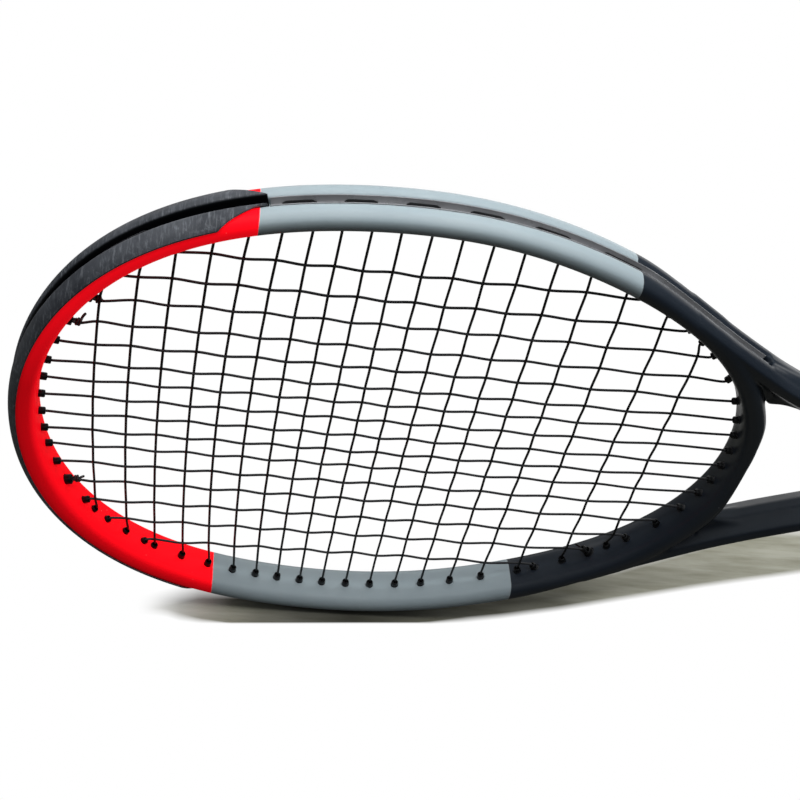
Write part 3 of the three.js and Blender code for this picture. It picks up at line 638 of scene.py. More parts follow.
def net_points(field, cells):
    """One point per crossed cell: mean of the edge crossings, then drawn onto the surface."""
    values = corner_values(field, cells)
    total, count = np.zeros((len(cells), 3)), np.zeros(len(cells))
    for a in CORNERS:
        for axis in range(3):
            if a[axis]:
                continue
            b = tuple(a[i] + (i == axis) for i in range(3))
            va, vb = values[a], values[b]
            crossed = (va < 0) != (vb < 0)
            p = np.tile(np.array(a, float), (len(cells), 1))
            p[:, axis] += np.where(crossed, va / np.where(va == vb, 1, va - vb), 0)
            total += p * crossed[:, None]
            count += crossed
    pos = cells + total / count[:, None]
    for _ in range(2):
        v, g = sample(field, pos)
        step = g * (v / np.maximum((g * g).sum(1), 1e-9))[:, None]
        length = np.linalg.norm(step, axis=1)
        step *= np.minimum(1, 0.5 / np.maximum(length, 1e-9))[:, None]
        pos = pos - step
    return pos


def surface_nets(field, origin, pitch):
    """Quads over the zero surface of a grid, facing out, with one vertex per crossed cell."""
    inside = field < 0
    nx, ny, nz = field.shape
    count = np.zeros((nx - 1, ny - 1, nz - 1), np.int8)
    for i, j, k in CORNERS:
        count += inside[i:nx - 1 + i, j:ny - 1 + j, k:nz - 1 + k]
    mask = (count > 0) & (count < 8)
    cells = np.argwhere(mask)
    ids = np.full(mask.shape, -1, np.int32)
    ids[mask] = np.arange(len(cells))
    quads = []
    for axis in range(3):
        o1, o2 = (axis + 1) % 3, (axis + 2) % 3
        near, far = [slice(1, -1)] * 3, [slice(1, -1)] * 3
        near[axis], far[axis] = slice(0, -1), slice(1, None)
        near, far = inside[tuple(near)], inside[tuple(far)]
        base = np.argwhere(near != far)
        inside_first = near[tuple(base.T)]
        base[:, o1] += 1
        base[:, o2] += 1
        around = []
        for d1, d2 in ((-1, -1), (0, -1), (0, 0), (-1, 0)):
            cell = base.copy()
            cell[:, o1] += d1
            cell[:, o2] += d2
            around.append(ids[tuple(cell.T)])
        quad = np.stack(around, 1)
        quad[~inside_first] = quad[~inside_first][:, ::-1]
        quads.append(quad)
    return origin + net_points(field, cells) * pitch, np.concatenate(quads)


def build_frame(pitch):
    """Samples the field over one quarter near the frame, mirrors it and meshes it."""
    xs = np.arange(-164.0, 356.0, pitch)
    zs = (np.arange(int(150 / pitch)) + 0.5) * pitch
    ys = (np.arange(int(15 / pitch)) + 0.5) * pitch
    gx, gz = np.meshgrid(xs, zs, indexing="ij")
    s = head_distance(gx.ravel(), gz.ravel())[0].reshape(gx.shape)
    reach = (s > -3) & (s < HOOP_T + 3.5)
    # arms and shaft: near the outer edge
    edge = OUTER_P[OUTER_U > u_at_x(CHAIN_X)]
    rough = np.interp(gx, edge[:, 0], edge[:, 1])
    reach |= (gx > 120) & (gz < rough + 4) & (gz > rough - 22)
    reach |= (gx > 176) & (gx < 214) & (gz > 32) & (gz < 66)
    reach |= (gx > 296) & (gz < 18)
    columns = np.argwhere(reach)
    field = np.full((len(xs), len(ys), len(zs)), 3.0, np.float32)
    f = frame_field(gx[reach], gz[reach], ys)
    field[columns[:, 0], :, columns[:, 1]] = np.clip(f, -4, 3)
    field = np.concatenate([field[:, ::-1], field], 1)
    field = np.concatenate([field[:, :, ::-1], field], 2)
    origin = np.array([xs[0], -(len(ys) - 0.5) * pitch, -(len(zs) - 0.5) * pitch])
    v, quads = surface_nets(field, origin, pitch)
    v[:, 0] -= BUTT

    mesh = bpy.data.meshes.new("frame_shell")
    mesh.vertices.add(len(v))
    mesh.vertices.foreach_set("co", (v * MM).astype(np.float32).ravel())
    mesh.loops.add(quads.size)
    mesh.loops.foreach_set("vertex_index", np.ascontiguousarray(quads, dtype=np.int32).ravel())
    mesh.polygons.add(len(quads))
    mesh.polygons.foreach_set("loop_start", np.arange(0, quads.size, 4, dtype=np.int32))
    mesh.polygons.foreach_set("loop_total", np.full(len(quads), 4, dtype=np.int32))
    mesh.update(calc_edges=True)
    mesh.validate()
    return add_object("frame_shell", mesh)


def hairpin(sign):
    """Hollow D-shaped tube inside the pallet; positive sign is the upper one."""
    def ring(a, b, c, i):
        half = [(i, b - 1.5), (i + 1.5, b), (a - c, b), (a, b - c)]
        return [(sign * z, -y) for z, y in half] + [(sign * z, y) for z, y in half[::-1]]

    # half height, half width, bevel, distance of the flat side from the middle
    outside, hollow = ring(13.0, 10.8, 5.3, 1.5), ring(11.2, 9.0, 4.2, 3.3)
    rows = ((352.0 - BUTT, outside), (-12.0, outside), (-12.0, hollow), (357 - BUTT, hollow))
    v = [(x, y, z) for x, ring_points in rows for z, y in ring_points]
    return np.array(v), ring_faces(4, 8)


def rod_profile(h):
    start, end, r = -5, h.far + 1.6, h.hole_r
    return [[start, 0], [start, r], [end, r], [end, 0]]


shell = build_frame(0.75)
through_holes(shell, HOLES, "DIFFERENCE", rod_profile, sides=20)
join_into(shell, Soup().add(*hairpin(1)).add(*hairpin(-1)).make("hairpins"))
register(smooth(shell, 40), "frame")

# ------------------------------------------------------------------ bumper and grommet strips
# bumper half sections: distance from the inner face, y
BUMPER_OUT = np.concatenate([
    spline([(8.35, 12.62), (8.7, 12.85), (9.4, 12.45), (11.35, 10.3), (12.35, 7.4), (12.66, 5.2),
            (12.5, 3.75), (12.0, 3.0), (11.2, 2.62), (9.4, 2.45), (7.8, 2.2)], 0.55),
    [(FLOOR, 1.7), (FLOOR, 0.0)]])
BUMPER_IN = np.array([(8.3, 12.3), (8.9, 11.95), (10.95, 9.45), (11.68, 5.6), (11.3, 3.9),
                      (10.5, 2.86), (6.9, 2.86), (6.9, 1.0), (6.9, 0.0)])
# the bumper narrows between these angles from the tip, by this share of its profile
TAPER_START, TAPER_END, TAPER_SHARE = 51.5, 59.2, 0.62


def resample(poly, t):
    d = np.concatenate([[0], np.cumsum(np.linalg.norm(poly[1:] - poly[:-1], axis=1))])
    s = np.asarray(t) * d[-1]
    return np.stack([np.interp(s, d, poly[:, 0]), np.interp(s, d, poly[:, 1])], 1)


def bumper_section(start, n=24):
    """Closed ring of (s, y) for a bumper whose edges start at a share of the profile."""
    t = start + (1 - start) * np.linspace(0, 1, n)
    outside, inside = resample(BUMPER_OUT, t), resample(BUMPER_IN, t)
    outside[0] = inside[0] * 0.35 + outside[0] * 0.65
    to_front = np.array([1, -1])
    return np.concatenate([outside * to_front, outside[::-1][1:], inside[:-1],
                           (inside * to_front)[::-1]])


def strip_section(top=10.4):
    """Channel shaped strip: a floor and two rails that line the slot."""
    half = [(6.9, 0.0), (6.9, 2.86), (top, 2.86), (top + 0.12, 2.62), (top, 2.36),
            (8.0, 2.14), (FLOOR + 0.06, 1.8), (FLOOR, 0.6), (FLOOR, 0.0)]
    return np.array(half + [(s, -y) for s, y in half[::-1]][1:-1])


def sweep_rows(sections, x, z, nx, nz):
    """Sections (k, m, 2) in [distance along the normal, y] at plan points with normals."""
    k, m = sections.shape[:2]
    v = np.empty((k, m, 3))
    v[..., 0] = x[:, None] + nx[:, None] * sections[..., 0] - BUTT
    v[..., 1] = sections[..., 1]
    v[..., 2] = z[:, None] + nz[:, None] * sections[..., 0]
    return v.reshape(-1, 3), ring_faces(k, m)


def barrel_profile(h):
    r, end, m = h.barrel_r, h.far - (LANE - FLOOR) - 0.3, -h.mouth
    return [[m, 0], [m, r - 0.42], [m + 0.12, r - 0.2], [m + 0.42, r], [m + 1.6, r + 0.02],
            [end, r + 0.04], [end, 0]]


def bore_profile(h):
    r, m, end = h.bore_r, -h.mouth, h.far + 2
    return [[m - 1.5, 0], [m - 1.5, r + 0.35], [m - 0.02, r + 0.28], [m + 0.35, r],
            [end, r], [end, 0]]


def finish_strip(ob, holes, replaces):
    """Adds the barrels, bores them and registers the strip."""
    through_holes(ob, holes, "UNION", barrel_profile)
    through_holes(ob, holes, "DIFFERENCE", bore_profile)
    return register(smooth(ob, 38), replaces)


def build_bumper(holes):
    degs = np.concatenate([-np.linspace(TAPER_END, 51, 24), np.linspace(-50.4, 50.4, 169),
                           np.linspace(51, TAPER_END, 24)])
    x, z, nx, nz, _, _ = inner(np.abs(degs) * DEG)
    side = np.where(degs < 0, -1.0, 1.0)
    narrowing = np.clip((np.abs(degs) - TAPER_START) / (TAPER_END - TAPER_START), 0, 1) ** 0.8
    sections = np.array([bumper_section(TAPER_SHARE * share) for share in narrowing])
    ob = solid("bumper_shell", *sweep_rows(sections, x, z * side, nx, nz * side))
    return finish_strip(ob, holes, "bumper_guard")


def build_side_strip(sign, word, holes):
    """Strip from the bumper's end to just past its last hole."""
    x, _, nx, _, _, _ = inner(TAPER_END * DEG)
    start = u_at_x(float(x + nx * HOOP_T))
    end = max(abs(h.station) for h in holes) + 4.5
    u = np.linspace(start + 0.8, end, int((end - start) / 2.5))
    x, z, nx, nz = outer_at(sign * u)
    sections = np.repeat(strip_section()[None], len(u), 0)
    ob = solid(f"strip_{word}_fine",
               *sweep_rows(sections, x - nx * HOOP_T, z - nz * HOOP_T, nx, nz))
    return finish_strip(ob, holes, f"grommet_strip_{word}")


def build_throat_strip():
    degs = np.linspace(167, 193, 40)
    tops = 9.6 + 2.1 * np.clip((12.6 - np.abs(degs - 180)) / 2.2, 0, 1) ** 0.6
    sections = np.array([strip_section(top) for top in tops])
    ob = solid("strip_throat_fine", *sweep_rows(sections, *inner(degs * DEG)[:4]))
    return finish_strip(ob, [h for h in HOLES if h.bridge], "throat_grommet_strip")


tip_holes = [h for h in HOLES if not h.bridge and abs(h.phi) < (TAPER_END - 0.9) * DEG]
side_holes = [h for h in HOLES if not h.bridge and h not in tip_holes]
bumper = build_bumper(tip_holes)
strips = [build_side_strip(sign, word, [h for h in side_holes if h.sign == sign])
          for sign, word in ((1, "upper"), (-1, "lower"))]
strips.append(build_throat_strip())

# ------------------------------------------------------------------ strings
MAIN_Y, CROSS_Y = 0.66, 0.44     # how far the weave swings each string
STRING_STEP, KNOT_STEP = 1.7, 0.5


def lane_at(bridge, station, level):
    """Point and normal in the channel, at a distance from the inner face: x, z, nx, nz."""
    if bridge:
        x, z, nx, nz = inner_point(abs(station))
        side = -1 if station < 0 else 1
        return x + nx * level, side * (z + nz * level), nx, side * nz
    x, z, nx, nz = (float(value) for value in outer_at(station))
    return x - nx * (HOOP_T - level), z - nz * (HOOP_T - level), nx, nz


def lane(h0, h1, y, level=LANE, lead=1.1):
    """Points along the channel between two holes."""
    a, b = h0.station, h1.station
    scale = 200 if h0.bridge else 1      # stations at the bridge are angles
    length = abs(b - a) * scale
    d = 1 if b > a else -1
    n = max(1, round((length - 2 * lead) / 5))
    points = []
    for i in range(n + 1):
        station = a + d * (lead + (length - 2 * lead) * i / n) / scale
        x, z, _, _ = lane_at(h0.bridge, station, level)
        points.append(np.array([x - BUTT, y, z]))
    return points


def through(h, lane_y, in_y=0.0):
    """Points from inside the head out through a hole."""
    top = h.at(h.far - 0.1, in_y + (lane_y - in_y) * 0.3)
    _, _, nx, nz = lane_at(h.bridge, h.station, LANE)
    top += 0.35 * np.array([nx, 0, nz])
    return [h.inside(2.8 if h.anchor else 0.5, in_y), h.inside(-0.6, in_y),
            h.at(0.5 * h.far, in_y), h.at(h.far - 0.9, in_y), top]


def main_through(h):
    """A main gives way to the tail in an anchor hole."""
    return through(h, -LANE_Y, -TAIL_Y if h.anchor else 0)


def tail_out(h):
    """A tail that has come through its anchor hole: hugs the main it is tied round."""
    return [h.at(h.far + 0.5, TAIL_Y), h.at(h.far - 1, TAIL_Y), h.inside(-0.5, TAIL_Y),
            h.inside(1.4, 0.95)]


def cross_over(i, j):
    """Side on which cross i passes the main that is j-th from the top: +1 is the back (+Y)."""
    return 1 if (i + j) % 2 == 0 else -1


def main_span(a, b, i, sign):
    """Points of one main between two mouths, woven past every cross string."""
    z = sign * MAINS_Z[i]
    from_top = 7 - i if sign > 0 else 8 + i
    x0, x1 = a.x - a.dx * a.mouth, b.x - b.dx * b.mouth
    points = []
    for k in range(19):
        x = cross_x(k, z)
        if min(x0, x1) + 3 < x < max(x0, x1) - 3:
            points.append(np.array([x - BUTT, -MAIN_Y * cross_over(k, from_top), z]))
    return points[::-1] if x0 > x1 else points


def side_run(sign):
    """The mains of one side from the middle outwards, and the tail back to its anchor."""
    points = []
    ends = ["tip", "throat"]
    for i in range(8):
        a, b = (MAIN_HOLES[i, sign, end] for end in ends)
        points += main_through(a)[::-1] + main_span(a, b, i, sign)
        if i < 7:
            level = LANE + 0.35 if b.end == "throat" and not b.bridge else LANE
            points += main_through(b)
            points += lane(b, MAIN_HOLES[i + 1, sign, b.end], -LANE_Y, level, lead=1.0)
        else:
            anchor = MAIN_HOLES[4, sign, "tip"]
            points += [b.inside(0.5), b.at(b.far + 0.2), b.at(b.far + 1.1, 0.35)]
            points += lane(b, anchor, TAIL_Y, TAIL_LANE, lead=1.4)
            points += tail_out(anchor)
        ends.reverse()
    return points


def cross_span(i, side):
    """Points of one cross from the given side to the other, woven past the mains it meets."""
    a, b = CROSS_HOLES[i, side], CROSS_HOLES[i, -side]
    reach = min(abs(h.z) - h.mouth * abs(h.dz) for h in (a, b)) - 1.5
    points = []
    for k, z in enumerate([z * side for z in MAINS_Z[::-1]] + [-z * side for z in MAINS_Z]):
        if abs(z) <= reach:
            from_top = k if side > 0 else 15 - k
            y = CROSS_Y * cross_over(i, from_top)
            points.append(np.array([cross_x(i, z) - BUTT, y, z]))
    return through(a, LANE_Y)[::-1] + points + through(b, LANE_Y)


def cross_run():
    """All crosses in one length, tied off at an anchor hole at either end."""
    start, end = MAIN_HOLES[5, 1, "tip"], MAIN_HOLES[6, -1, "throat"]
    points = tail_out(start)[::-1][:3] + [start.at(start.far + 0.1, 1.0)]
    points += lane(start, CROSS_HOLES[0, 1], LANE_Y)
    for i in range(19):
        side = 1 if i % 2 == 0 else -1
        points += cross_span(i, side)
        following = CROSS_HOLES[i + 1, -side] if i < 18 else end
        points += lane(CROSS_HOLES[i, -side], following, LANE_Y)
    return points + [end.at(end.far + 0.1, 1.0)] + tail_out(end)[1:]


def knot_path(h, turn):
    """Half hitch drawn tight round the main beside its mouth, and the cut tail."""
    axis = -np.array([h.dx, 0, h.dz])
    up = np.array([0.0, 1.0, 0.0])
    across = np.cross(axis, up)
    start = h.inside(1.4)
    turns, radius, length = 1.9, 1.3, 2.1
    points = []
    for k in range(26):
        t = k / 25
        a = math.pi / 2 + turn * turns * 2 * math.pi * t
        points.append(start + axis * (0.1 + length * t)
                      + radius * (math.sin(a) * up + math.cos(a) * across))
    side = unit(points[-1] - start - axis * (0.1 + length))
    for k in range(1, 5):
        points.append(points[-1] + unit(side * 0.8 + axis * 0.12 * k) * 0.75)
    return points


def build_string(kind, points, knots):
    soup = Soup().add(*tube(spline(points, STRING_STEP), STRING_R))
    for key, turn in knots:
        soup.add(*tube(spline(knot_path(MAIN_HOLES[key], turn), KNOT_STEP), STRING_R))
    ob = smooth(soup.make(f"{kind}_string_fine"), 60)
    return register(ob, f"{kind}_string")


middle = lane(MAIN_HOLES[0, -1, "tip"], MAIN_HOLES[0, 1, "tip"], -LANE_Y)
main_string = build_string("main", side_run(-1)[::-1] + middle + side_run(1),
                           [((4, 1, "tip"), 1), ((4, -1, "tip"), -1)])
cross_string = build_string("cross", cross_run(),
                            [((5, 1, "tip"), -1), ((6, -1, "throat"), 1)])

# ------------------------------------------------------------------ handle
# octagons: half height, half width, bevel
PALLET = (15.65, 13.65, 8.0)
GRIP = (17.35, 15.35, 8.7)
DOOR = (10.8, 8.8, 2.85)
CAP_LIP = (17.0, 15.0, 8.8)
COLLAR = (19.9, 17.9, 9.6)


def grow(octagon, d):
    return (octagon[0] + d, octagon[1] + d, octagon[2] + d * 0.586)


def oct_ring(a, b, c, radius, n=4):
    """Octagon with rounded corners, as (z, y): half height a, half width b, bevel c."""
    points = [(a, -(b - c)), (a, b - c), (a - c, b), (-(a - c), b),
              (-a, b - c), (-a, -(b - c)), (-(a - c), -b), (a - c, -b)]
    points = np.array(points, float)
    out = []
    for i in range(8):
        p0, p1, p2 = points[i - 1], points[i], points[(i + 1) % 8]
        e0, e1 = unit(p0 - p1), unit(p2 - p1)
        half = math.acos(max(-1, min(1, float(e0 @ e1)))) / 2
        d = min(radius / math.tan(half), 0.45 * np.linalg.norm(p0 - p1),
                0.45 * np.linalg.norm(p2 - p1))
        r = d * math.tan(half)
        centre = p1 + unit(e0 + e1) * (r / math.sin(half))
        a0, a1 = p1 + e0 * d - centre, p1 + e1 * d - centre
        t0, t1 = math.atan2(a0[1], a0[0]), math.atan2(a1[1], a1[0])
        dt = (t1 - t0 + math.pi) % (2 * math.pi) - math.pi
        for k in range(n + 1):
            t = t0 + dt * k / n
            out.append(centre + r * np.array([math.cos(t), math.sin(t)]))
    return np.array(out)


def oct_stack(rows, closed=False, n=4):
    """Rows of [row x, half height, half width, bevel, corner radius] lofted along X."""
    v = [(x, y, z) for x, *section in rows for z, y in oct_ring(*section, n)]
    return np.array(v), ring_faces(len(rows), 8 * (n + 1), closed)


def build_cap():
    outside = [[-28, 17, 15, 8.8, 1.6], [-19, 17.1, 15.1, 8.9, 1.6],
               [-15.5, 18.1, 16, 9.3, 2], [-9.5, 20.3, 18, 10.2, 2.4],
               [-5, 21.1, 18.7, 10.6, 2.6], [-2.2, 21.0, 18.6, 10.5, 2.6],
               [-0.7, 20.3, 17.9, 10.2, 2.4], [0, 19.2, 16.9, 9.8, 2.2]]
    door_recess = [[0, 12.0, 10.0, 3.4, 0.6], [-0.25, 11.45, 9.45, 3.2, 0.6],
                   [-0.6, 11.15, 9.15, 3.0, 0.6], [-3.0, 11.1, 9.1, 3.0, 0.6]]
    lining = [[x, *grow(PALLET, 0.3), 1.0] for x in (-3.0, -28)]
    rows = spline(outside, 0.9).tolist() + door_recess + lining
    ob = smooth(solid("butt_cap_moulded", *oct_stack(rows, closed=True)), 40)
    return register(ob, "butt_cap")


def snap_leg(side):
    """Snap leg: a thin arm with a hooked foot, with eased edges."""
    profile = [(-2.2, 7.2), (-2.2, 8.4), (-5.2, 8.4), (-5.7, 8.75), (-6.6, 8.75),
               (-8.0, 8.1), (-8.0, 7.2)]
    middle_x, middle_y = -5.1, 7.9
    v = []
    for z, inset in ((-4, 0.25), (-3.75, 0), (3.75, 0), (4, 0.25)):
        for x, y in profile:
            v.append((x + (middle_x - x) * inset * 0.15,
                      side * (y + (middle_y - y) * inset), z))
    return np.array(v), ring_faces(4, len(profile))


def build_door():
    # row x, growth of the door's octagon, corner radius
    steps = [(-2.3, -0.1, 0.5), (-0.5, 0, 0.5), (-0.15, -0.12, 0.5), (0, -0.5, 0.5),
             (0, -1.6, 0.5), (-0.35, -1.9, 0.5), (-0.35, -3.4, 0.4), (-0.1, -3.7, 0.4)]
    rows = [[x, *grow(DOOR, d), r] for x, d, r in steps] + [[-0.1, 2.6, 1.6, 0.5, 0.2]]
    soup = Soup().add(*oct_stack(rows)).add(*snap_leg(1)).add(*snap_leg(-1))
    return register(smooth(soup.make("butt_door"), 35), "butt_cap_trapdoor",
                    rides="trapdoor")


def build_grip():
    """Cushioned tape wound in a spiral: every turn laps the last, with a step at its edge."""
    pitch, step_height, seam_depth, seam_width, sink = 21.5, 0.30, 0.42, 0.022, 0.18
    grip_end = -17.4
    profile = np.array([
        [-170, *grow(GRIP, -0.3), 2.2], [-160.8, *grow(GRIP, -0.3), 2.2],
        [-159.2, *grow(GRIP, -0.02), 2.4], [-31, *grow(GRIP, -0.02), 2.4],
        [-27, 18.55, 16.55, 9.5, 2.8], [-19, 18.65, 16.65, 9.6, 2.8],
        [grip_end, 18.3, 16.3, 9.4, 2.8]])
    n = 11
    xs = np.concatenate([np.linspace(-170, -159, 12), np.linspace(-158.4, grip_end, 236)])
    v = []
    for x in xs:
        ring = oct_ring(*(np.interp(x, profile[:, 0], profile[:, k]) for k in range(1, 5)), n)
        angle = np.arctan2(ring[:, 1], ring[:, 0])
        u = ((x - grip_end) / pitch + angle / (2 * math.pi)) % 1.0
        step = np.where(u < 0.06, u / 0.06, 1 - 0.55 * np.clip((u - 0.06) / 0.35, 0, 1))
        seam = np.exp(-(u / seam_width) ** 2) + np.exp(-((u - 1.0) / seam_width) ** 2)
        lift = step_height * step - seam_depth * seam - sink
        fade = min(1.0, max(0.0, (x + 159.5) / 3))
        ring = ring * (1 + (lift * fade)[:, None] / np.linalg.norm(ring, axis=1, keepdims=True))
        v += [(x, y, z) for z, y in ring]
    inside = [[grip_end, 17.9, 15.9, 9.2, 1.6], [-19.6, *grow(CAP_LIP, 0.4), 1.6],
              [-28.6, *grow(CAP_LIP, 0.3), 1.6], [-30.2, *grow(PALLET, 0.2), 1.2],
              [-170, *grow(PALLET, 0.2), 1.2]]
    v = np.concatenate([v, oct_stack(inside, n=n)[0]])
    faces = ring_faces(len(xs) + len(inside), 8 * (n + 1), closed=True)
    return register(smooth(solid("grip_wound", v, faces), 50), "grip_wrap")


def build_tape():
    under = grow(GRIP, -0.3)
    # row x, height above the grip
    steps = [(-170.4, 0.55), (-170.2, 0.65), (-165.8, 0.65), (-165.6, 0.5),
             (-161.2, 0.5), (-161, 0.4), (-161, 0.2), (-170.4, 0.2)]
    rows = [[x, *grow(under, d), 2.2] for x, d in steps]
    ob = smooth(solid("finishing_tape_wound", *oct_stack(rows, closed=True)), 40)
    return register(ob, "grip_finishing_tape")


def build_collar():
    rows = spline([[-184, 15.9, 13.8, 6.0, 2], [-183.2, 16.2, 14.1, 6.1, 2],
                   [-181, 16.35, 14.25, 6.2, 2], [-177.5, 17.4, 15.3, 7.2, 2.2],
                   [-174, 18.9, 16.9, 8.6, 2.4], [-170, *COLLAR, 2.6]], 0.8).tolist()
    groove = (19.5, 17.5, 9.45)
    for x in (-168.0, -165.6, -163.2):
        rows += [[x - 0.55, *COLLAR, 2.6], [x - 0.3, *groove, 2.6],
                 [x + 0.3, *groove, 2.6], [x + 0.55, *COLLAR, 2.6]]
    rows += [[-161.3, *COLLAR, 2.6], [-160.5, 19.75, 17.75, 9.55, 2.6],
             [-160, 19.3, 17.3, 9.4, 2.5], [-160, 18.4, 16.4, 9.1, 2.4],
             [-171.2, 18.35, 16.35, 9.1, 2.4], [-172.5, 17.2, 15.2, 8.0, 2.0],
             [-173, 14.4, 12.2, 3.75, 0.8], [-184, 14.35, 12.15, 3.7, 0.8]]
    ob = smooth(solid("collar_moulded", *oct_stack(rows, closed=True)), 40)
    return register(ob, "grip_collar", rides="collar")


def build_staple(sign, word):
    top, x = 16.78, -24
    half = [(4.2, top), (4.55, top - 0.25), (4.65, 15.9), (4.65, 13.9)]
    path = [(x, -y, sign * z) for y, z in half[::-1]] + [(x, y, sign * z) for y, z in half]
    ob = smooth(solid(f"butt_cap_wire_{word}", *tube(spline(path, 0.35), 0.3, 8)), 60)
    return register(ob, f"butt_cap_staple_{word}")


def build_tack():
    # y, radius; the domed head lies at the back
    profile = [[12.9, 0], [13.1, 0.25], [13.9, 0.5], [17.0, 0.5], [17.1, 2.0], [17.3, 2.1],
               [17.5, 1.85], [17.66, 1.2], [17.72, 0.5], [17.72, 0]]
    ob = smooth(solid("tack_domed", *lathe(profile, (-23, 0, 0), (0, -1, 0), 24)), 40)
    return register(ob, "grip_tack")


cap = build_cap()
door = build_door()
grip = build_grip()
tape = build_tape()
collar = build_collar()
steel_parts = [build_staple(1, "top"), build_staple(-1, "bottom"), build_tack()]


# ------------------------------------------------------------------ materials
def lin(*rgb):
    """Linear colour from 8-bit sRGB."""
    out = []
    for c in rgb:
        c /= 255
        out.append(c / 12.92 if c <= 0.04045 else ((c + 0.055) / 1.055) ** 2.4)
    return (*out, 1.0)


def grey(value):
    return (value, value, value, 1)


class Nodes:
    """Small builder for a node tree; inputs take a value or another node's output."""

    def __init__(self, tree):
        self.tree = tree
        self.pos = None

    def node(self, kind, **settings):
        n = self.tree.nodes.new(kind)
        for key, value in settings.items():
            setattr(n, key, value)
        return n

    def feed(self, socket, value):
        if isinstance(value, bpy.types.NodeSocket):
            self.tree.links.new(value, socket)
        else:
            socket.default_value = value

    def filled(self, kind, inputs, **settings):
        """A new node with its inputs fed, by name or number."""
        n = self.node(kind, **settings)
        for key, value in inputs.items():
            self.feed(n.inputs[key], value)
        return n

    def stretched(self, scale):
        """Object coordinates, scaled by axis if a scale is given."""
        if scale is None:
            return self.pos
        inputs = {"Scale": scale, "Vector": self.pos}
        return self.filled("ShaderNodeMapping", inputs).outputs[0]

    def noise(self, scale, detail=3, rough=0.55, distortion=0.0, stretch=None):
        inputs = {"Scale": scale, "Detail": detail, "Roughness": rough,
                  "Distortion": distortion, "Vector": self.stretched(stretch)}
        return self.filled("ShaderNodeTexNoise", inputs).outputs["Fac"]

    def voronoi(self, scale, stretch=None):
        inputs = {"Scale": scale, "Vector": self.stretched(stretch)}
        return self.filled("ShaderNodeTexVoronoi", inputs).outputs["Distance"]

    def remap(self, value, start, end, low=0.0, high=1.0):
        """Clamped: low at start, high at end."""
        inputs = {"From Min": start, "From Max": end, "To Min": low, "To Max": high,
                  "Value": value}
        return self.filled("ShaderNodeMapRange", inputs).outputs[0]

    def math(self, operation, a, b=0.0):
        return self.filled("ShaderNodeMath", {0: a, 1: b}, operation=operation).outputs[0]

    def add(self, a, b):
        return self.math("ADD", a, b)

    def sub(self, a, b):
        return self.math("SUBTRACT", a, b)

    def mul(self, a, b):
        return self.math("MULTIPLY", a, b)

    def mix(self, share, a, b):
        inputs = {0: share, 6: a, 7: b}
        return self.filled("ShaderNodeMix", inputs, data_type="RGBA").outputs[2]

    def blotch(self, value, a, b, start=0.3, end=0.7):
        """Colour a where the value is low, turning to b between start and end."""
        return self.mix(self.remap(value, start, end), a, b)

    def split(self, vector):
        return self.filled("ShaderNodeSeparateXYZ", {0: vector}).outputs


class Material(Nodes):
    def __init__(self, name):
        self.material = bpy.data.materials.new(name)
        self.material.use_nodes = True
        super().__init__(self.material.node_tree)
        self.bsdf = self.tree.nodes["Principled BSDF"]
        self.pos = self.node("ShaderNodeTexCoord").outputs["Object"]

    def put(self, name, value):
        self.feed(self.bsdf.inputs[name], value)

    def colour(self, value):
        self.put("Base Color", value)

    def roughness(self, value, low, high):
        self.put("Roughness", self.remap(value, start=0.3, end=0.7, low=low, high=high))

    def bump(self, height, strength, distance):
        """Adds a bump on top of any earlier one."""
        normal = self.bsdf.inputs["Normal"]
        inputs = {"Strength": strength, "Distance": distance, "Height": height}
        if normal.is_linked:
            inputs["Normal"] = normal.links[0].from_socket
        self.feed(normal, self.filled("ShaderNodeBump", inputs).outputs[0])


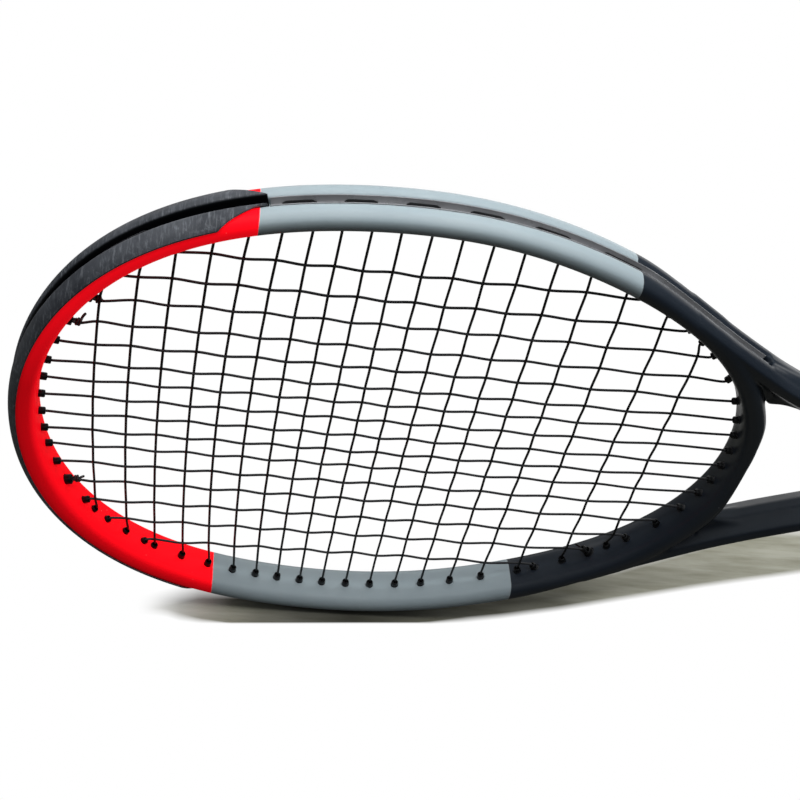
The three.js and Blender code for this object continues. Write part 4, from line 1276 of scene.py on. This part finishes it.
def paint_mat():
    """Moulded paint: red at the tip, then grey, then navy to the handle."""
    m = Material("moulded_paint")
    axes = m.split(m.pos)
    x = axes["X"]
    red_end, grey_end = (-59.3 - BUTT) * MM, (104.8 - BUTT) * MM
    blur = 0.00008
    wobble = m.mul(m.sub(m.noise(scale=160, detail=2), 0.5), 0.00012)
    # past the red, the colour edge slants with height
    slant = m.mul(m.remap(x, start=-0.5, end=-0.45), m.mul(m.sub(axes["Z"], 0.11), 0.016))
    edge_x = m.sub(m.add(x, wobble), slant)
    cloud = m.noise(scale=22, detail=4, rough=0.6)
    past_red = m.remap(edge_x, start=red_end - blur, end=red_end + blur)
    past_grey = m.remap(edge_x, start=grey_end - blur, end=grey_end + blur)
    colour = m.mix(past_red, m.blotch(cloud, (0.86, 0.002, 0.006, 1), (0.94, 0.003, 0.009, 1)),
                   m.blotch(cloud, lin(136, 148, 153), lin(144, 155, 159)))
    colour = m.mix(past_grey, colour, m.blotch(cloud, lin(22, 28, 36), lin(28, 34, 42)))
    # a thin painted highlight where one colour laps the next
    for edge in (red_end, grey_end):
        off = m.math("ABSOLUTE", m.sub(edge_x, edge))
        edge_highlight = m.remap(off, start=0.0001, end=0.0003, low=0.16, high=0.0)
        colour = m.mix(edge_highlight, colour, lin(196, 203, 205))
    # small chips and rubbed spots
    chips = m.remap(m.voronoi(scale=260, stretch=(1, 1, 1)), start=0.05, end=0.12, low=1, high=0)
    patches = m.remap(m.noise(scale=55), start=0.60, end=0.68)
    m.colour(m.mix(m.mul(m.mul(patches, chips), 0.35), colour, lin(206, 208, 208)))
    m.roughness(m.noise(scale=70, detail=4, rough=0.6), low=0.30, high=0.42)
    m.put("Specular IOR Level", m.mix(past_red, grey(0.03), grey(0.5)))
    # painted light: the red glows like a lamp, at full strength except on front faces low down,
    # where it glows less
    m.put("Emission Color", (1.0, 0.004, 0.012, 1))
    normal = m.split(m.node("ShaderNodeNewGeometry").outputs["Normal"])
    front = m.remap(m.mul(normal[1], -1.0), start=0.5, end=0.85)
    low_down = m.remap(axes["Z"], start=0.02, end=0.07, low=1, high=0)
    painted_glow_full, painted_glow_front_loss = 0.56, 0.34
    painted_glow = m.sub(painted_glow_full, m.mul(m.mul(front, low_down), painted_glow_front_loss))
    m.put("Emission Strength", m.mul(painted_glow, m.remap(past_red, start=0, end=1, low=1, high=0)))
    m.bump(m.noise(scale=900, detail=2), strength=0.05, distance=0.00005)
    m.bump(m.noise(scale=60, detail=2), strength=0.10, distance=0.0003)
    return m.material


def bumper_mat():
    """Dull nylon, scuffed across the edge where it meets the court."""
    m = Material("bumper_nylon")
    axes = m.split(m.pos)
    scuffs = m.noise(scale=1.0, detail=5, rough=0.7, distortion=0.3, stretch=(1500, 90, 260))
    scrapes = m.noise(scale=1.0, detail=4, rough=0.65, distortion=0.2, stretch=(420, 60, 900))
    cloud = m.noise(scale=45, detail=4, rough=0.6)
    worn = m.blotch(cloud, lin(44, 46, 51), lin(66, 68, 73))
    worn = m.mix(m.remap(scuffs, start=0.52, end=0.75, high=0.7), worn, lin(128, 131, 136))
    worn = m.mix(m.remap(scrapes, start=0.55, end=0.78, high=0.6), worn, lin(112, 116, 122))
    # painted shade down in the groove: near black there, and glossier
    shaded_groove = m.remap(m.math("ABSOLUTE", axes["Y"]), start=0.0028, end=0.0034, low=1, high=0)
    m.colour(m.mix(shaded_groove, worn, lin(5, 6, 8)))
    worn_rough = m.remap(scuffs, start=0.3, end=0.75, low=0.36, high=0.66)
    m.put("Roughness", m.mix(shaded_groove, worn_rough, grey(0.3)))
    m.put("Specular IOR Level", m.mix(shaded_groove, grey(0.6), grey(0.3)))
    m.bump(scuffs, strength=0.25, distance=0.00015)
    m.bump(m.noise(scale=500), strength=0.15, distance=0.0001)
    return m.material


def channel_mat():
    """Strip nylon: grey in the outer channel, black on the barrels."""
    m = Material("channel_nylon")
    cloud = m.noise(scale=60, detail=4, rough=0.6)
    attribute = m.node("ShaderNodeAttribute", attribute_name="channel")
    black = m.blotch(cloud, lin(8, 8, 9), lin(13, 13, 14), start=0.35)
    worn = m.blotch(cloud, lin(112, 112, 114), lin(130, 130, 132), start=0.35)
    m.colour(m.mix(attribute.outputs["Fac"], black, worn))
    m.roughness(m.noise(scale=220), low=0.24, high=0.4)
    m.bump(m.noise(scale=1400, detail=2), strength=0.08, distance=0.00006)
    m.put("IOR", 1.5)
    return m.material


def string_mat(name, base, light):
    m = Material(name)
    m.colour(m.blotch(m.noise(scale=60), base, light, start=0.4))
    m.roughness(m.noise(scale=90, detail=2), low=0.24, high=0.36)
    m.put("IOR", 1.5)
    return m.material


def grip_mat():
    m = Material("grip_cushion")
    axes = m.split(m.pos)
    # perforations in rows, about 4 mm apart along the handle and round it
    rows_per_metre, holes_round, drift = 240.0, 24, 0.0034
    angle = m.math("ARCTAN2", axes["Y"], axes["Z"])
    grid = m.filled("ShaderNodeCombineXYZ", {
        0: m.mul(m.add(axes["X"], m.mul(angle, drift)), rows_per_metre),
        1: m.mul(angle, holes_round / (2 * math.pi))})
    cells = m.filled("ShaderNodeTexVoronoi",
                     {"Scale": 1.0, "Randomness": 0.0, "Vector": grid.outputs[0]},
                     voronoi_dimensions="2D")
    dots = m.remap(cells.outputs["Distance"], start=0.13, end=0.2, low=1, high=0)
    grain = m.noise(scale=1900, rough=0.6)
    colour = m.blotch(m.noise(scale=40, detail=4), lin(28, 28, 31), lin(38, 38, 42))
    # painted shade: the perforations are coloured near black
    m.colour(m.mix(m.mul(dots, 0.85), colour, lin(9, 9, 10)))
    m.roughness(grain, low=0.62, high=0.82)
    m.put("Sheen Weight", 0.12)
    m.bump(dots, strength=-0.8, distance=0.0004)
    m.bump(grain, strength=0.3, distance=0.00012)
    return m.material


def rubber_mat():
    m = Material("collar_rubber")
    m.colour(m.blotch(m.noise(scale=50, detail=4), lin(24, 24, 26), lin(34, 34, 36)))
    m.roughness(m.noise(scale=300), low=0.6, high=0.78)
    m.bump(m.noise(scale=1600, detail=2), strength=0.2, distance=0.0001)
    return m.material


def cap_mat(name, tone):
    m = Material(name)
    light = lin(*[t + 9 for t in tone])
    m.colour(m.blotch(m.noise(scale=60, detail=4), lin(*tone), light))
    m.roughness(m.noise(scale=260), low=0.36, high=0.5)
    m.bump(m.voronoi(scale=1500), strength=0.12, distance=0.00012)
    return m.material


def foam_mat():
    m = Material("pallet_foam")
    m.colour(m.blotch(m.noise(scale=90, detail=4), lin(196, 182, 148), lin(214, 202, 170)))
    m.put("Roughness", 0.85)
    m.bump(m.voronoi(scale=1300), strength=0.4, distance=0.0002)
    return m.material


def steel_mat():
    m = Material("drawn_steel")
    m.colour(m.mix(m.noise(scale=400), lin(170, 172, 176), lin(205, 207, 210)))
    m.put("Metallic", 1.0)
    m.roughness(m.noise(scale=900), low=0.22, high=0.4)
    m.bump(m.noise(scale=1.0, rough=0.6, stretch=(300, 3000, 3000)),
           strength=0.15, distance=0.00005)
    return m.material


def tape_mat():
    m = Material("finishing_tape")
    m.colour(m.blotch(m.noise(scale=70), lin(20, 20, 22), lin(30, 30, 33)))
    m.roughness(m.noise(scale=500), low=0.38, high=0.55)
    m.bump(m.noise(scale=1.0, detail=2, rough=0.5, stretch=(120, 2400, 2400)),
           strength=0.15, distance=0.0001)
    return m.material


def mark_channel(ob):
    """Marks the outer channel of a strip, which is worn grey; the barrels stay black."""
    co = vertex_array(ob.data).astype(float) / MM
    s, _ = head_distance(co[:, 0] + BUTT, np.abs(co[:, 2]))
    attribute = ob.data.attributes.new("channel", "FLOAT", "POINT")
    attribute.data.foreach_set("value", (s > 5.0).astype(np.float32))


def give(material, *objects):
    for ob in objects:
        ob.data.materials.clear()
        ob.data.materials.append(material)


give(paint_mat(), shell)
give(bumper_mat(), bumper)
for strip in strips:
    mark_channel(strip)
give(channel_mat(), *strips)
give(string_mat("string_mains", lin(34, 34, 36), lin(46, 46, 48)), main_string)
give(string_mat("string_crosses", lin(6, 6, 7), lin(11, 11, 12)), cross_string)
give(cap_mat("cap_moulded_nylon", (22, 22, 24)), cap)
give(cap_mat("door_moulded_nylon", (34, 34, 38)), door)
give(grip_mat(), grip)
give(tape_mat(), tape)
give(rubber_mat(), collar)
give(steel_mat(), *steel_parts)
foam = foam_mat()
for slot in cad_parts["handle_pallet"].material_slots:
    slot.material = foam

# ------------------------------------------------------------------ floor
FLOOR_Z = -0.1363
BAND_X0, BAND_X1 = -0.70, 0.10       # span of the tables below, row x
BAND_Y = 0.10                        # half width that y is shared out over, 0 front to 1 back
# near and far edge of the visible floor: x, share of y
NEAR_EDGE = [
    (BAND_X0, 0.42), (-0.6076, 0.412), (-0.5995, 0.400), (-0.5888, 0.393), (-0.5728, 0.393),
    (-0.5352, 0.4055), (-0.5078, 0.4148), (-0.4629, 0.4296), (-0.4456, 0.4419),
    (-0.4221, 0.463), (-0.3857, 0.502), (-0.3478, 0.5495), (-0.2952, 0.6155),
    (-0.2265, 0.693), (BAND_X1, 0.88)]
FAR_EDGE = [
    (BAND_X0, 0.45), (-0.6185, 0.475), (-0.59, 0.525), (-0.535, 0.545), (-0.48, 0.565),
    (-0.345, 0.70), (-0.25, 0.88), (BAND_X1, 1.0)]
# how much of the floor shows: x, share
SHOWN = [
    (BAND_X0, 0), (-0.622, 0), (-0.6171, 0.12), (-0.6076, 0.52), (-0.5995, 0.77),
    (-0.5888, 0.91), (-0.5728, 1), (-0.14, 1), (-0.02, 0), (BAND_X1, 0)]
# painted shadow where the hoop touches down, and painted shade in under the racket: x, share
CONTACT_SHADOW = [
    (BAND_X0, 1), (-0.5888, 1), (-0.5728, 0.92), (-0.5568, 0.56), (-0.5352, 0.28),
    (-0.5078, 0.16), (-0.4799, 0.32), (-0.4456, 0.70), (-0.404, 0.85), (-0.3669, 1),
    (BAND_X1, 1)]
UNDER_SHADE = [
    (BAND_X0, 0), (-0.4629, 0.05), (-0.4456, 0.35), (-0.4221, 0.6), (-0.3857, 0.65),
    (-0.3669, 0.5), (-0.3478, 0.3), (-0.3284, 0.2), (-0.26, 0), (BAND_X1, 0)]


def band(m, x, table):
    """Float curve through a table of (x, value), with straight runs."""
    points = [((px - BAND_X0) / (BAND_X1 - BAND_X0), value) for px, value in table]
    n = m.node("ShaderNodeFloatCurve")
    curve = n.mapping.curves[0]
    curve.points[0].location = points[0]
    curve.points[1].location = points[-1]
    for point in points[1:-1]:
        curve.points.new(*point)
    for point in curve.points:
        point.handle_type = "VECTOR"
    n.mapping.update()
    m.feed(n.inputs["Value"], m.remap(x, start=BAND_X0, end=BAND_X1))
    return n.outputs[0]


def floor_mat():
    """Pale floor that shows in a band under the racket and fades into the white ground."""
    m = Material("floor_pale")
    grain = m.noise(scale=1.0, detail=4, rough=0.6, stretch=(18, 160, 1))
    base = m.blotch(grain, lin(146, 144, 128), lin(174, 172, 158), start=0.35, end=0.65)
    rays = m.node("ShaderNodeLightPath").outputs
    axes = m.split(m.pos)
    x = axes["X"]
    y_share = m.remap(axes["Y"], start=-BAND_Y, end=BAND_Y)
    depth = m.sub(y_share, band(m, x, NEAR_EDGE))
    softness = m.math("MAXIMUM", m.remap(x, start=-0.60, end=-0.575, low=1.5, high=0.3),
                      m.remap(x, start=-0.47, end=-0.44, low=0.3, high=1.15))
    near = m.remap(m.math("DIVIDE", depth, softness), start=-0.006, end=0.012)
    far = m.remap(m.sub(band(m, x, FAR_EDGE), y_share), start=0.0, end=0.06)
    mask = m.mul(m.mul(far, near), band(m, x, SHOWN))
    under = m.mul(band(m, x, UNDER_SHADE), m.remap(depth, start=0.008, end=0.044))
    light = m.mul(band(m, x, CONTACT_SHADOW), m.sub(1.0, under))
    # painted shadow: the floor colour turns towards near black by these tables
    base = m.mix(light, lin(8, 9, 3), base)
    # other rays than the camera's meet a plain dark floor
    m.colour(m.mix(rays["Is Camera Ray"], (0.10, 0.10, 0.09, 1), base))
    m.put("Roughness", 0.8)
    m.put("Specular IOR Level", 0.1)
    # the camera sees white where the mask is nil, and so do some reflections;
    # everything else sees the floor
    reflected = m.mul(m.remap(x, start=-0.33, end=-0.30),
                      m.remap(axes["Y"], start=0.02, end=0.06, high=0.8))
    seen = m.add(rays["Is Camera Ray"], m.mul(rays["Is Glossy Ray"], reflected))
    white = m.filled("ShaderNodeEmission", {"Strength": 1.0})
    shader = m.filled("ShaderNodeMixShader", {
        0: m.math("MAXIMUM", mask, m.sub(1.0, seen)),
        1: white.outputs[0], 2: m.bsdf.outputs[0]})
    m.feed(m.tree.nodes["Material Output"].inputs["Surface"], shader.outputs[0])
    return m.material


def build_floor():
    x0, x1, y0, y1 = -2.4, 1.6, -1.6, 3.0
    mesh = bpy.data.meshes.new("floor")
    corners = [(x0, y0, FLOOR_Z), (x1, y0, FLOOR_Z), (x1, y1, FLOOR_Z), (x0, y1, FLOOR_Z)]
    mesh.from_pydata(corners, [], [[0, 1, 2, 3]])
    ob = add_object("floor", mesh)
    mesh.materials.append(floor_mat())


build_floor()


# ------------------------------------------------------------------ world, lights, camera
def build_world():
    """White to the camera; to everything else a sky that brightens upwards."""
    world = bpy.data.worlds.new("studio")
    bpy.context.scene.world = world
    world.use_nodes = True
    w = Nodes(world.node_tree)
    w.tree.nodes.clear()
    out = w.node("ShaderNodeOutputWorld")
    seen = w.filled("ShaderNodeBackground", {0: (1, 1, 1, 1), 1: 1.0})
    up = w.split(w.node("ShaderNodeTexCoord").outputs["Generated"])["Z"]
    sky = w.filled("ShaderNodeValToRGB", {0: w.remap(up, start=-1, end=1)})
    stops = sky.color_ramp.elements
    stops[0].position, stops[0].color = 0.0, (0.05, 0.05, 0.045, 1)
    stops[1].position, stops[1].color = 1.0, (0.9, 0.96, 1.0, 1)
    for position, colour in ((0.48, (0.035, 0.035, 0.035, 1)), (0.60, (0.06, 0.062, 0.066, 1)),
                             (0.80, (0.30, 0.32, 0.34, 1))):
        stops.new(position).color = colour
    lighting = w.filled("ShaderNodeBackground", {0: sky.outputs[0], 1: 0.55})
    camera_ray = w.node("ShaderNodeLightPath").outputs["Is Camera Ray"]
    mix = w.filled("ShaderNodeMixShader",
                   {0: camera_ray, 1: lighting.outputs[0], 2: seen.outputs[0]})
    w.feed(out.inputs["Surface"], mix.outputs[0])


def area(name, location, target, size, size_y, power, colour, mirrored):
    """Area light aimed at a target; mirrored lights show in reflections."""
    light = bpy.data.lights.new(name, "AREA")
    light.shape, light.size, light.size_y = "RECTANGLE", size, size_y
    light.energy, light.color = power, colour
    ob = bpy.data.objects.new(name, light)
    ob.location = location
    ob.rotation_mode = "QUATERNION"
    ob.rotation_quaternion = (Vector(target) - Vector(location)).to_track_quat("-Z", "Y")
    ob.visible_camera = False
    ob.visible_glossy = mirrored
    COLLECTION.objects.link(ob)


def build_camera():
    camera = bpy.data.cameras.new("camera")
    camera.sensor_width, camera.lens = 36.0, 57.154
    camera.clip_start, camera.clip_end = 0.02, 50
    ob = bpy.data.objects.new("camera", camera)
    COLLECTION.objects.link(ob)
    right = Vector((0.98181683, -0.05929197, 0.18033351))
    backward = -Vector((0.16984127, 0.69869369, -0.69496840))
    place = Vector((-0.609041, -0.416113, 0.435043))
    columns = (right, backward.cross(right), backward, place)
    rows = [[column[i] for column in columns] for i in range(3)]
    ob.matrix_world = Matrix((*rows, (0, 0, 0, 1)))
    bpy.context.scene.camera = ob


build_world()
area("key", location=(-0.44, -0.02, 0.45), target=(-0.44, -0.01, 0.0), size=1.05, size_y=0.26,
     power=4.0, colour=(0.97, 0.99, 1.0), mirrored=False)
area("back", location=(-0.22, 0.85, 0.72), target=(-0.40, 0.0, 0.0), size=1.9, size_y=0.75,
     power=5.0, colour=(1.0, 0.995, 0.98), mirrored=False)
area("horizon", location=(-0.25, 0.95, 0.12), target=(-0.40, 0.0, 0.0), size=2.2, size_y=0.46,
     power=2.0, colour=(1.0, 0.995, 0.98), mirrored=True)
build_camera()
bpy.context.scene.view_settings.view_transform = "Standard"

bpy.context.view_layer.update()
